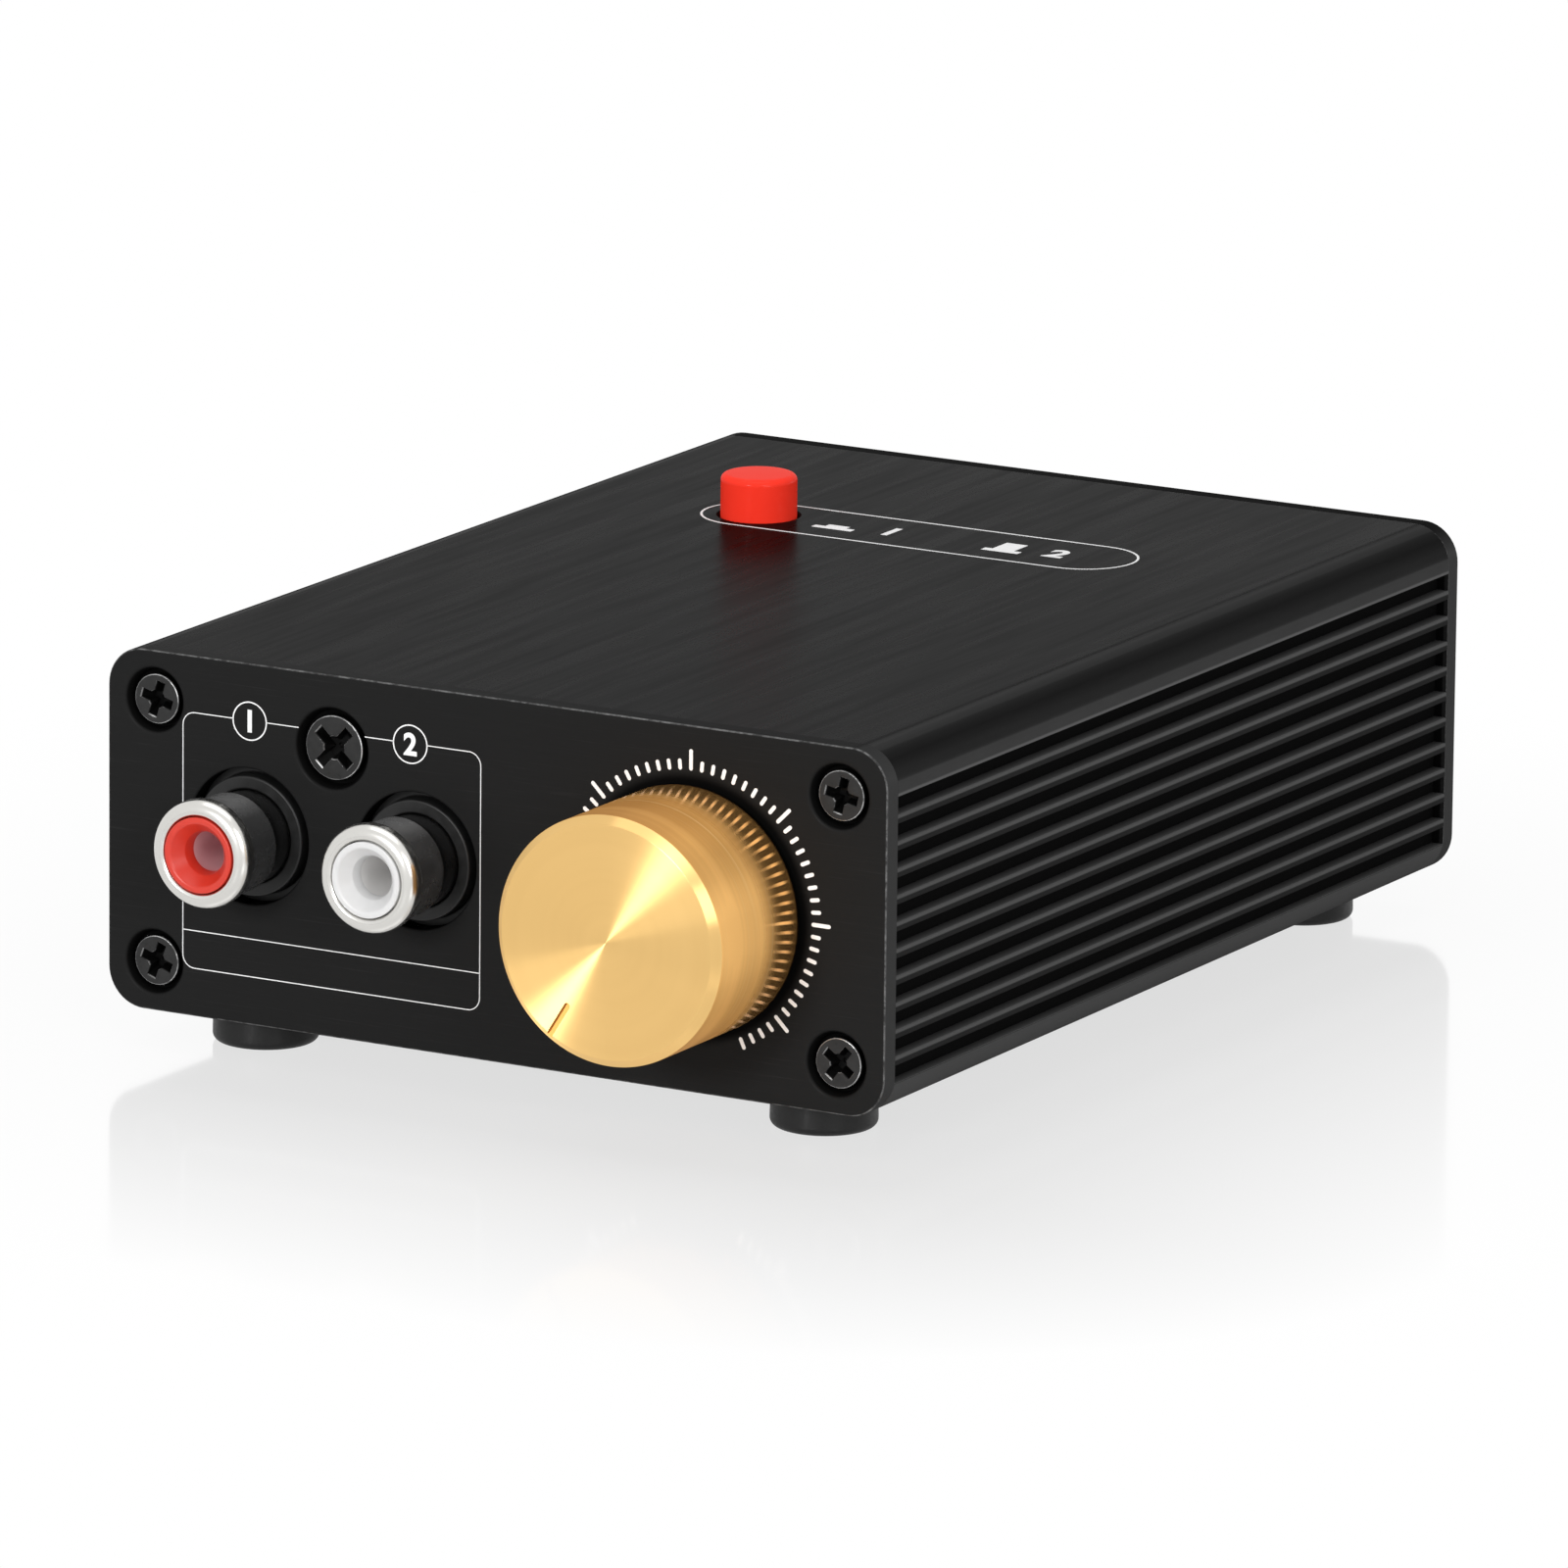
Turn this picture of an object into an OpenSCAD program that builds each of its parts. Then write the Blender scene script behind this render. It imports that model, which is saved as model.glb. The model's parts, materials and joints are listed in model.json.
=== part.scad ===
// Desktop line preamplifier: an extruded case with two end panels, a volume control,
// phono sockets at both ends and a push button in the top that selects the input.
// Millimetres, +Z up, front towards -Y, origin on the table under the middle of the object.

/* [Case] */
// Width of the case
case_w = 66; // [64:0.5:80]
// Height of the case without its feet
case_h = 27.4; // [26.4:0.1:34]
// Depth of the case over both end panels
case_d = 89.8; // [84:0.2:130]
// Radius of the long edges
edge_r = 3; // [2:0.1:3.2]
// Thickness of the top and bottom walls
wall_t = 1.8; // [1.4:0.1:2.2]
// Thickness of the ribbed side walls
side_t = 2.4; // [2:0.1:2.8]
// Thickness of each end panel
panel_t = 1.6; // [1.4:0.1:2.2]

/* [Side ribs] */
// Number of grooves in each side
groove_n = 11; // [3:2:11]
// Distance from groove to groove
groove_pitch = 2; // [1.9:0.02:2.04]
// Width of a groove at its floor
groove_w = 1.3; // [0.9:0.02:1.4]
// Depth of a groove
groove_depth = 1; // [0.6:0.1:1.3]
// Chamfer along the mouth of a groove
groove_chamfer = 0.08; // [0.04:0.01:0.2]
// Distance of the middle groove below the middle of the side
groove_drop = 0.57; // [0:0.01:0.7]

/* [Panel screws] */
// Distance of a corner screw from the side of the case
screw_inset_x = 4; // [3.8:0.1:4.2]
// Distance of a corner screw from the top or bottom of the case
screw_inset_z = 3.75; // [3.5:0.05:4.2]
// Diameter of a corner screw
screw_d = 2.4; // [2:0.1:2.6]
// Length of a corner screw below its head
screw_len = 8; // [5:0.5:12]
// Diameter of a corner screw head
screw_head_d = 3.8; // [3.4:0.1:4.4]
// Diameter of the recess around a corner screw head
screw_recess_d = 5; // [4.6:0.1:5.6]
// Outer diameter of the screw channels in the case
channel_d = 4; // [3.4:0.1:4.2]
// Width of the web from a screw channel to its wall
channel_web = 2.8; // [2:0.1:3.2]
// Height of all the screw heads
screw_head_h = 0.8; // [0.7:0.05:0.9]
// Depth of all the screw heads below the face of their panel
screw_sink = 0.3; // [0.1:0.05:0.4]
// Width of the arms of the cross recess in a screw head
cross_w = 0.76; // [0.4:0.02:0.9]
// Depth of the cross recess in a screw head
cross_depth = 0.6; // [0.3:0.05:0.65]
// Rim of a screw head outside its cross recess
cross_rim = 0.6; // [0.4:0.05:1]

/* [Feet] */
// Diameter of a foot
foot_d = 8; // [6:0.25:12]
// Height of a foot
foot_h = 3.1; // [2:0.1:6]
// Radius of the lower edge of a foot
foot_round = 0.6; // [0.3:0.1:1.2]
// Distance of a foot from the side of the case
foot_inset_x = 9.15; // [7:0.05:14]
// Distance of a foot from the end of the case
foot_inset_y = 7.5; // [6.5:0.1:16]

/* [Phono sockets] */
// Distance of the middle of a pair from the side of the case
phono_inset = 19.3; // [18:0.1:20]
// Distance between the two sockets of a pair
phono_pitch = 14.35; // [13:0.05:15]
// Height of the socket axes above the board
phono_rise = 6.85; // [6.2:0.05:8]
// Reach of the sockets in front of their panel
phono_reach = 6.7; // [5:0.1:9]
// Diameter of the plated barrel
barrel_d = 7.5; // [7.2:0.1:7.8]
// Diameter over the rolled lip
lip_d = 8.05; // [7.9:0.05:8.6]
// Thickness of the rolled lip
lip_roll = 1; // [0.8:0.05:1.2]
// Diameter of the neck behind the barrel
neck_d = 7; // [6.8:0.1:7.1]
// Length of the neck in front of the panel
neck_l = 2.1; // [1:0.1:3]
// Diameter of the insulator
insulator_d = 5.9; // [5.6:0.05:6]
// Set-back of the insulator from the lip
insulator_recess = 0.1; // [0:0.05:0.8]
// Diameter of the centre hole
centre_d = 3.4; // [3.2:0.05:3.6]
// Diameter of the mouth of the funnel round the centre hole
funnel_d = 5.2; // [4.4:0.1:5.4]
// Depth of the funnel
funnel_depth = 1.2; // [0.5:0.1:1.8]
// Diameter of the centre contact
contact_d = 4.2; // [4:0.1:4.6]
// Wall of the centre contact
contact_wall = 0.4; // [0.2:0.05:0.45]
// Distance of the centre contact behind the funnel
contact_setback = 0.3; // [0.1:0.1:2]
// Diameter of the moulded collar in the panel hole
collar_d = 9.1; // [8.6:0.1:9.8]
// Diameter of a socket hole in the panel
phono_hole_d = 10.3; // [9.9:0.1:11.5]
// Width of the moulded housing of a pair
housing_w = 25.8; // [25:0.1:26]
// Depth of the moulded housing
housing_l = 9; // [6:0.5:12]
// How far the necks reach into the housing
barrel_hold = 4; // [2:0.5:5]
// Distance of the socket fixing screw from the top of the case
fixing_inset = 5.55; // [5:0.05:6.2]
// Diameter of the socket fixing screw
fixing_d = 2.6; // [2.2:0.1:3]
// Length of the socket fixing screw below its head
fixing_len = 7; // [5:0.5:9]
// Diameter of the socket fixing screw head
fixing_head_d = 5; // [4.4:0.1:5.4]
// Diameter of the recess around the socket fixing screw head
fixing_recess_d = 6.3; // [5.8:0.1:6.8]

/* [Volume control] */
// Distance of the dial from the right side of the case
dial_inset = 16.3; // [15:0.1:18]
// Height of the control axis above the board
pot_rise = 6.3; // [6:0.05:7.5]
// Diameter of the knob
knob_d = 18.6; // [16:0.1:20]
// Length of the knob
knob_l = 11.8; // [9:0.1:16]
// Gap between the knob and the panel
knob_gap = 0.3; // [0.2:0.1:1]
// Chamfer on the front edge of the knob
knob_chamfer = 0.6; // [0.2:0.1:1]
// Chamfer on the back edge of the knob
knob_back_chamfer = 0.2; // [0.1:0.05:0.4]
// Thickness of the knob in front of its shaft
knob_front_t = 1.6; // [1:0.1:3]
// Diameter of the hollow in the back of the knob
knob_hollow_d = 12.8; // [12.6:0.1:14]
// Angle of the pointer from the top of the dial, clockwise from the front
pointer_deg = -148; // [-150:1:150]
// Length of the pointer groove
pointer_l = 3.5; // [2:0.1:6]
// Width of the pointer groove
pointer_w = 0.5; // [0.3:0.1:1.2]
// Depth of the pointer groove
pointer_depth = 0.3; // [0.1:0.05:0.6]
// Diameter of the grub screw in the knob
grub_d = 3; // [2:0.5:4]
// Depth of the key socket in the grub screw
grub_socket = 2; // [1:0.1:3]
// Distance of the grub screw behind the knob face
grub_setback = 4.2; // [3:0.1:5]
// Diameter of the control shaft
shaft_d = 6; // [5:0.1:6.2]
// Depth of the flat on the control shaft
shaft_flat = 0.6; // [0.3:0.1:1]
// Diameter of the threaded bushing
bushing_d = 7; // [6.8:0.1:7.4]
// Reach of the bushing in front of the panel
bushing_reach = 3.8; // [3.2:0.1:4.5]
// Diameter of the washer
washer_d = 12; // [10:0.1:12.2]
// Thickness of the washer
washer_t = 0.5; // [0.3:0.1:0.8]
// Width of the nut across its corners
nut_d = 11.5; // [10:0.1:12]
// Thickness of the nut
nut_t = 2; // [1.5:0.1:2.2]
// Width of the potentiometer can
pot_w = 9.8; // [9:0.1:12]
// Height of the can above the control axis
pot_head = 5.2; // [4.8:0.1:6.5]
// Thickness of the front plate of the potentiometer
pot_plate_t = 1.2; // [0.8:0.1:2]
// Length of the can behind its front plate
pot_can_l = 8.2; // [6.6:0.1:14]
// Wall of the can
pot_wall = 0.5; // [0.3:0.1:0.6]
// Diameter of the rotor that carries the wipers
rotor_d = 7.8; // [7:0.1:8]
// Thickness of the rotor
rotor_t = 1.4; // [1:0.1:2]
// Distance of the rotor behind the front plate
rotor_setback = 2; // [1:0.1:2.4]
// Distance between the rotor and the track wafer
rotor_room = 1; // [0.5:0.1:1.4]
// Thickness of the track wafer
wafer_t = 1; // [0.6:0.1:1.4]
// Width of a potentiometer terminal
terminal_w = 1; // [0.6:0.1:1.4]
// Thickness of every solder terminal
terminal_t = 0.4; // [0.3:0.05:0.6]
// Distance between the potentiometer terminals
terminal_pitch = 2.5; // [2:0.1:3]

/* [Selector] */
// Distance of the button from the left side of the case
button_inset_x = 18.7; // [17:0.1:22]
// Distance of the button from the rear of the case
button_inset_y = 25.6; // [24:0.1:30]
// Diameter of the button cap
button_d = 5.9; // [5.4:0.1:6.2]
// Gap round the button cap in its hole
button_gap = 0.25; // [0.2:0.05:0.5]
// Height of the button cap above the case
button_proud = 3.3; // [2.8:0.1:5]
// Travel of the button
button_travel = 2.2; // [1:0.1:2.4]
// Radius of the upper edge of the button cap
button_round = 0.4; // [0.2:0.1:1]
// Width of the switch body
switch_w = 8; // [7:0.1:9]
// Height of the switch body
switch_h = 9.4; // [8:0.1:10.5]
// Thickness of the floor of the switch body
switch_floor = 1.6; // [1:0.1:2.5]
// Width of the square plunger
plunger_w = 3; // [2.6:0.1:3.4]
// Length of the plunger inside the cap
plunger_hold = 5; // [3:0.1:6.5]
// Space left between the cap and the switch body when pressed
press_room = 0.6; // [0.4:0.1:1]
// Length of the return spring at rest
spring_l = 4.2; // [3.4:0.1:4.8]
// Diameter of the return spring
spring_d = 2.6; // [2:0.1:2.8]
// Diameter of the wire of the return spring
wire_d = 0.3; // [0.2:0.05:0.4]

/* [Rear connectors] */
// Height of the jack axis above the board
jack_rise = 5; // [4.6:0.1:6]
// Width of the jack body
jack_w = 8; // [7.6:0.1:9]
// Length of the jack body behind the panel
jack_l = 12; // [8:0.5:14]
// Diameter of the jack bore
jack_bore_d = 3.6; // [3.55:0.05:3.7]
// Diameter of the jack bushing
jack_bushing_d = 6; // [5.6:0.1:6.4]
// Reach of the jack bushing behind the rear face
jack_reach = 3; // [2.5:0.1:4.5]
// Length of the jack bushing inside the jack body
jack_hold = 1.6; // [1:0.1:4]
// Wall at the inner end of the jack body
jack_wall = 1.6; // [0.8:0.1:3]
// Diameter of the jack nut
jack_nut_d = 8; // [7.4:0.1:9.6]
// Thickness of the jack nut
jack_nut_t = 1.8; // [1.2:0.1:2.2]
// Distance of the power inlet from the left side of the case
inlet_inset = 13; // [11.5:0.1:15]
// Height of the power inlet axis above the board
inlet_rise = 6.5; // [6:0.1:7.5]
// Width of the power inlet body
inlet_w = 9; // [8.6:0.1:11]
// Height of the power inlet body above its axis
inlet_head = 4.6; // [4.4:0.1:6]
// Length of the power inlet body behind the panel
inlet_l = 13; // [11:0.5:16]
// Diameter of the power inlet collar
inlet_collar_d = 8; // [7:0.1:8.4]
// Diameter of the power inlet bore
inlet_bore_d = 5.7; // [5.6:0.1:6.2]
// Depth of the power inlet bore
inlet_depth = 9.5; // [8:0.5:10]
// Diameter of the power pin
pin_d = 2.1; // [2:0.1:2.5]
// Diameter of the root of the power pin in the inlet body
pin_root_d = 3; // [2.6:0.1:3.6]
// Set-back of the power pin from the rear face
pin_setback = 1; // [0.5:0.1:3]

/* [Board] */
// Thickness of the circuit board
board_t = 1.6; // [1.2:0.1:2]
// Gap between the board and an end panel
board_end_gap = 0.5; // [0.3:0.1:1]
// Depth of the rails that hold the board down
rail_w = 1.6; // [1.2:0.1:2]
// Thickness of the rails
rail_t = 0.9; // [0.6:0.1:1.4]
// Distance of the reservoir capacitors from the right edge of the board
reservoir_inset = 9.4; // [6:0.1:11]
// Diameter of a reservoir capacitor
reservoir_d = 8; // [6.3:0.1:9]
// Height of a reservoir capacitor
reservoir_h = 11; // [8:0.5:11.5]
// Distance between neighbouring reservoir capacitors
reservoir_pitch = 10; // [9.4:0.1:11]
// Distance of the first film capacitor from the left edge of the board
film_inset = 10.4; // [5:0.1:14]
// Length of a film capacitor
film_l = 7.2; // [6:0.1:9]
// Thickness of a film capacitor
film_t = 2.5; // [2:0.1:3.5]
// Height of a film capacitor
film_h = 6.5; // [5:0.1:8]
// Distance between film capacitors
film_pitch = 5; // [4:0.1:5.5]
// Number of film capacitors
film_n = 4; // [2:1:5]
// Gap between the resistors and the chip socket
chip_gap = 2.4; // [1:0.1:4]
// Length of the amplifier chip
chip_l = 9.6; // [9:0.1:10]
// Width of the amplifier chip
chip_w = 6.4; // [6:0.1:7]
// Thickness of the amplifier chip
chip_t = 3.3; // [2.5:0.1:4]
// Width of the chip socket
chip_socket_w = 8.8; // [8:0.1:10]
// Height of the chip socket
chip_socket_h = 4; // [3:0.1:5]
// Distance of the voltage regulator from the right edge of the board
regulator_inset = 10.4; // [6:0.1:12]
// Width of the voltage regulator
regulator_w = 6.6; // [5:0.1:9]
// Thickness of the voltage regulator
regulator_t = 2.3; // [1.8:0.1:4.6]
// Distance of the first row of resistors from the left edge of the board
resistor_inset = 16.4; // [8:0.1:18]
// Distance between the two rows of resistors
resistor_row = 10; // [8:0.1:12]
// Length of a resistor
resistor_l = 6.3; // [5:0.1:7]
// Diameter of a resistor
resistor_d = 2.4; // [1.8:0.1:2.5]
// Distance between resistors
resistor_pitch = 3; // [2.7:0.1:3.4]
// Number of resistors in each row
resistor_n = 5; // [2:1:5]

/* [Clearances] */
// Gap between pieces that fit in one another
fit_gap = 0.05; // [0.02:0.01:0.1]
// Gap between the control shaft and its bushing
run_gap = 0.05; // [0.02:0.01:0.08]
// Gap between pieces that are slid in
slide_gap = 0.1; // [0.05:0.05:0.2]
// Gap round a screw or shaft in a plain hole
screw_gap = 0.2; // [0.1:0.05:0.3]
// Gap between tall inner pieces and the roof of the case
roof_gap = 0.8; // [0.3:0.1:1.2]

/* [Hidden] */
$fn = 64;
// Overshoot of a cut past the surface that it opens
cut = 1;
inner_w = case_w - 2 * side_t;
inner_h = case_h - 2 * wall_t;
case_l = case_d - 2 * panel_t;
groove_mid = case_h / 2 - groove_drop;
screw_x = case_w / 2 - screw_inset_x;
screw_low = screw_inset_z;
screw_high = case_h - screw_inset_z;
head_base = screw_sink + screw_head_h;
board_bottom = screw_low + channel_d / 2 + slide_gap;
board_top = board_bottom + board_t;
board_w = inner_w - 2 * slide_gap;
board_front = panel_t + board_end_gap;
board_l = case_d - 2 * board_front;
roof = case_h - wall_t - roof_gap;

phono_x = phono_inset - case_w / 2;
phono_z = board_top + phono_rise;
fixing_z = case_h - fixing_inset;
housing_back = panel_t + housing_l;
shell_inner_r = insulator_d / 2 + fit_gap;
contact_front = insulator_recess + funnel_depth + contact_setback - phono_reach;
contact_back = housing_back + slide_gap + terminal_t;

dial_x = case_w / 2 - dial_inset;
dial_z = board_top + pot_rise;
knob_reach = knob_gap + knob_l;
knob_hollow_y = bushing_reach + knob_gap;
shaft_front = knob_reach - knob_front_t;
grub_y = knob_reach - grub_setback;
shaft_bore_r = shaft_d / 2 + fit_gap;
flat_r = shaft_d / 2 - shaft_flat;
can_front = panel_t + pot_plate_t;
can_back = can_front + pot_can_l;
shaft_back = can_back - pot_wall - slide_gap;
rotor_front = can_front + rotor_setback;
wafer_front = rotor_front + rotor_t + rotor_room;

button_x = button_inset_x - case_w / 2;
button_y = case_d - button_inset_y;
button_hole_r = button_d / 2 + button_gap;
switch_top = board_top + switch_h;
cap_bottom = switch_top + button_travel + press_room;
cap_top = case_h + button_proud;
spring_z = board_top + switch_floor;
plunger_bottom = spring_z + spring_l;
plunger_top = cap_bottom + plunger_hold;

// The rear connectors are set out as seen from behind, so left and right change places
inlet_x = case_w / 2 - inlet_inset;
inlet_z = board_top + inlet_rise;
// The jack stands midway between the phono housing and the power inlet
jack_x = (phono_x + housing_w / 2 + inlet_x - inlet_w / 2) / 2;
jack_z = board_top + jack_rise;

// How far each screw happens to be turned
screw_turns = [12, 8, 28, 6];
fixing_turn = 40;

// Places of the board parts across the board, from its edges, and along it, from its middle
board_mid_y = case_d / 2;
reservoir_x = board_w / 2 - reservoir_inset;
reservoir_y = 8;
film_x = film_inset - board_w / 2;
film_y = -22;
resistor_x = resistor_inset - board_w / 2;
resistor_y = -12;
chip_x = resistor_x + resistor_row + resistor_l / 2 + chip_gap + chip_socket_w / 2;
chip_y = -4;
regulator_x = board_w / 2 - regulator_inset;
regulator_y = -16;

// Origin under the middle of the whole object, from the knob face to the rear sockets
front_y = (knob_reach - phono_reach - case_d) / 2;

// Frames: origin on the outer face of an end panel, at the bottom of the case, outside towards -Y
module front_frame() {
    translate([0, front_y, foot_h]) children();
}

module rear_frame() {
    translate([0, front_y + case_d, foot_h]) rotate([0, 0, 180]) children();
}

// A flat outline in X and Z made solid from y = 0 backwards
module upright(length) {
    translate([0, length, 0]) rotate([90, 0, 0]) linear_extrude(length) children();
}

// A round bar along Y between two places
module bar_y(d, from, to) {
    translate([0, from, 0]) rotate([-90, 0, 0]) cylinder(d = d, h = to - from);
}

// A flat outline of radius and y, turned about the Y axis
module turned() {
    rotate([-90, 0, 0]) rotate_extrude() children();
}

// A box centred on X, from y = from to y = to and z = low to z = high
module block_y(w, from, to, low, high) {
    translate([-w / 2, from, low]) cube([w, to - from, high - low]);
}

// A box standing on z = low, centred in X and Y
module post(w, l, low, high) {
    translate([-w / 2, -l / 2, low]) cube([w, l, high - low]);
}

module case_outline() {
    translate([-case_w / 2 + edge_r, 0]) square([case_w - 2 * edge_r, case_h]);
    translate([-case_w / 2, edge_r]) square([case_w, case_h - 2 * edge_r]);
    for (x = [-1, 1], z = [edge_r, case_h - edge_r]) {
        translate([x * (case_w / 2 - edge_r), z]) circle(edge_r);
    }
}

module screw_places() {
    for (x = [-screw_x, screw_x], z = [screw_low, screw_high]) translate([x, 0, z]) children();
}

module phono_places() {
    for (side = [-1, 1]) translate([phono_x + side * phono_pitch / 2, 0, phono_z]) children();
}

// Cheese-head screw with a cross recess, its head a little below y = 0
module screw(head_d, thread_d, length, turn) {
    reach = head_d / 2 - cross_rim;
    difference() {
        union() {
            bar_y(head_d, screw_sink, head_base);
            bar_y(thread_d, head_base, head_base + length);
        }
        for (arm = [0, 90]) {
            rotate([0, turn + arm, 0]) block_y(cross_w, -cut, screw_sink + cross_depth, -reach, reach);
        }
    }
}

// Case

module case_profile() {
    difference() {
        case_outline();
        difference() {
            translate([-inner_w / 2, wall_t]) square([inner_w, inner_h]);
            for (x = [-screw_x, screw_x]) {
                for (z = [screw_low, screw_high]) translate([x, z]) circle(d = channel_d);
                translate([x - channel_web / 2, 0]) square([channel_web, screw_low]);
                translate([x - channel_web / 2, screw_high]) square([channel_web, screw_inset_z]);
            }
            for (x = [-inner_w / 2, inner_w / 2 - rail_w]) {
                translate([x, board_top + slide_gap]) square([rail_w, rail_t]);
            }
        }
        for (x = [-screw_x, screw_x], z = [screw_low, screw_high]) {
            translate([x, z]) circle(d = screw_d + 2 * fit_gap);
        }
        for (side = [-1, 1], i = [0 : groove_n - 1]) {
            translate([side * case_w / 2, groove_mid + (i - (groove_n - 1) / 2) * groove_pitch]) groove(side);
        }
    }
}

module groove(side) {
    half = groove_w / 2;
    mouth = half + groove_chamfer;
    polygon([[0, -mouth], [-side * groove_chamfer, -half], [-side * groove_depth, -half],
        [-side * groove_depth, half], [-side * groove_chamfer, half], [0, mouth],
        [side * cut, mouth], [side * cut, -mouth]]);
}

module case_extrusion() {
    color("#262626") front_frame() difference() {
        translate([0, panel_t, 0]) upright(case_l) case_profile();
        translate([button_x, button_y, case_h - wall_t - cut]) {
            cylinder(r = button_hole_r, h = wall_t + 2 * cut);
        }
    }
}

// Plate with its corner screw recesses and the openings of a phono pair
module end_panel() {
    difference() {
        upright(panel_t) case_outline();
        screw_places() {
            bar_y(screw_d + 2 * screw_gap, -cut, panel_t + cut);
            bar_y(screw_recess_d, -cut, head_base);
        }
        phono_places() bar_y(phono_hole_d, -cut, panel_t + cut);
        translate([phono_x, 0, fixing_z]) {
            bar_y(fixing_d + 2 * screw_gap, -cut, panel_t + cut);
            bar_y(fixing_recess_d, -cut, head_base);
        }
    }
}

module front_panel() {
    color("#202020") front_frame() difference() {
        end_panel();
        translate([dial_x, 0, dial_z]) bar_y(bushing_d + 2 * slide_gap, -cut, panel_t + cut);
    }
}

module rear_panel() {
    color("#202020") rear_frame() difference() {
        end_panel();
        translate([jack_x, 0, jack_z]) bar_y(jack_bushing_d + 2 * slide_gap, -cut, panel_t + cut);
        translate([inlet_x, 0, inlet_z]) bar_y(inlet_collar_d + 2 * slide_gap, -cut, panel_t + cut);
    }
}

module panel_screws() {
    color("#151515") for (i = [0, 1], j = [0, 1]) {
        translate([(2 * i - 1) * screw_x, 0, j * (screw_high - screw_low) + screw_low]) {
            screw(screw_head_d, screw_d, screw_len, screw_turns[2 * i + j]);
        }
    }
}

module foot(x, y) {
    color("#181818") front_frame() translate([x * (case_w / 2 - foot_inset_x), y, -foot_h]) rotate_extrude() {
        square([foot_d / 2 - foot_round, foot_h]);
        translate([0, foot_round]) square([foot_d / 2, foot_h - foot_round]);
        translate([foot_d / 2 - foot_round, foot_round]) intersection() {
            circle(foot_round);
            translate([0, -foot_round]) square(foot_round);
        }
    }
}

// Volume control

module dial_frame() {
    front_frame() translate([dial_x, 0, dial_z]) children();
}

// The moving pieces are set out with the pointer upwards and turned to its angle at rest
module pointer_frame() {
    dial_frame() rotate([0, pointer_deg, 0]) children();
}

module volume_knob() {
    color("#d8a852") pointer_frame() difference() {
        turned() polygon([[0, -knob_reach], [knob_d / 2 - knob_chamfer, -knob_reach],
            [knob_d / 2, knob_chamfer - knob_reach], [knob_d / 2, -knob_gap - knob_back_chamfer],
            [knob_d / 2 - knob_back_chamfer, -knob_gap], [0, -knob_gap]]);
        bar_y(knob_hollow_d, -knob_hollow_y, cut);
        bar_y(2 * shaft_bore_r, -shaft_front - slide_gap, cut);
        translate([0, -grub_y, 0]) cylinder(d = grub_d + 2 * fit_gap, h = knob_d);
        block_y(pointer_w, -knob_reach - cut, pointer_depth - knob_reach, knob_d / 2 - pointer_l, knob_d);
    }
}

module knob_grub_screw() {
    length = knob_d / 2 - knob_chamfer - flat_r - fit_gap;
    color("#3a3a3a") pointer_frame() translate([0, -grub_y, flat_r + fit_gap]) difference() {
        cylinder(d = grub_d, h = length);
        translate([0, 0, length - grub_socket]) cylinder(d = grub_d / 2, h = knob_d, $fn = 6);
    }
}

module pot_shaft() {
    color("#c8c8c4") pointer_frame() difference() {
        bar_y(shaft_d, -shaft_front, shaft_back);
        block_y(2 * shaft_d, -shaft_front - cut, -bushing_reach - slide_gap, flat_r, shaft_d);
    }
}

module pot_rotor() {
    color("#6b4a2a") pointer_frame() difference() {
        bar_y(rotor_d, rotor_front, rotor_front + rotor_t);
        bar_y(2 * shaft_bore_r, rotor_front - cut, rotor_front + rotor_t + cut);
    }
}

module pot_bushing() {
    color("#b9b9b4") dial_frame() difference() {
        union() {
            block_y(pot_w, panel_t, can_front, -pot_rise, pot_head);
            bar_y(bushing_d, -bushing_reach, panel_t);
        }
        bar_y(shaft_d + 2 * run_gap, -bushing_reach - cut, can_front + cut);
    }
}

module pot_can() {
    inner_back = can_back - pot_wall;
    color("#a9aaa8") dial_frame() difference() {
        block_y(pot_w, can_front, can_back, -pot_rise, pot_head);
        block_y(pot_w - 2 * pot_wall, can_front - cut, inner_back, pot_wall - pot_rise, pot_head - pot_wall);
    }
}

module pot_wafer() {
    inner = pot_wall + fit_gap;
    color("#2f2018") dial_frame() difference() {
        block_y(pot_w - 2 * inner, wafer_front, wafer_front + wafer_t, inner - pot_rise, pot_head - inner);
        bar_y(shaft_d + 2 * screw_gap, wafer_front - cut, wafer_front + wafer_t + cut);
    }
}

module pot_terminals() {
    color("#cfcfc8") dial_frame() for (i = [-1, 0, 1]) translate([i * terminal_pitch, 0, 0]) {
        block_y(terminal_w, can_back, can_back + terminal_t, -pot_rise, -shaft_d / 2);
    }
}

module pot_washer() {
    color("#c9c9c4") dial_frame() difference() {
        bar_y(washer_d, -washer_t, 0);
        bar_y(bushing_d + 2 * fit_gap, -washer_t - cut, cut);
    }
}

module pot_nut() {
    color("#c4c4be") dial_frame() difference() {
        translate([0, -washer_t - nut_t, 0]) rotate([-90, 0, 0]) cylinder(d = nut_d, h = nut_t, $fn = 6);
        bar_y(bushing_d + 2 * fit_gap, -washer_t - nut_t - cut, cut);
    }
}

// Phono pairs, set out on the outer face of their panel

module phono_housing() {
    color("#141414") difference() {
        union() {
            translate([phono_x, 0, 0]) block_y(housing_w, panel_t, housing_back, board_top, roof);
            phono_places() bar_y(collar_d, slide_gap, panel_t);
        }
        phono_places() {
            bar_y(neck_d + 2 * fit_gap, -cut, panel_t + barrel_hold + fit_gap);
            bar_y(contact_d + 2 * fit_gap, panel_t, housing_back + cut);
        }
        translate([phono_x, 0, fixing_z]) {
            bar_y(fixing_d + 2 * fit_gap, panel_t - cut, head_base + fixing_len + slide_gap);
        }
    }
}

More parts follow.
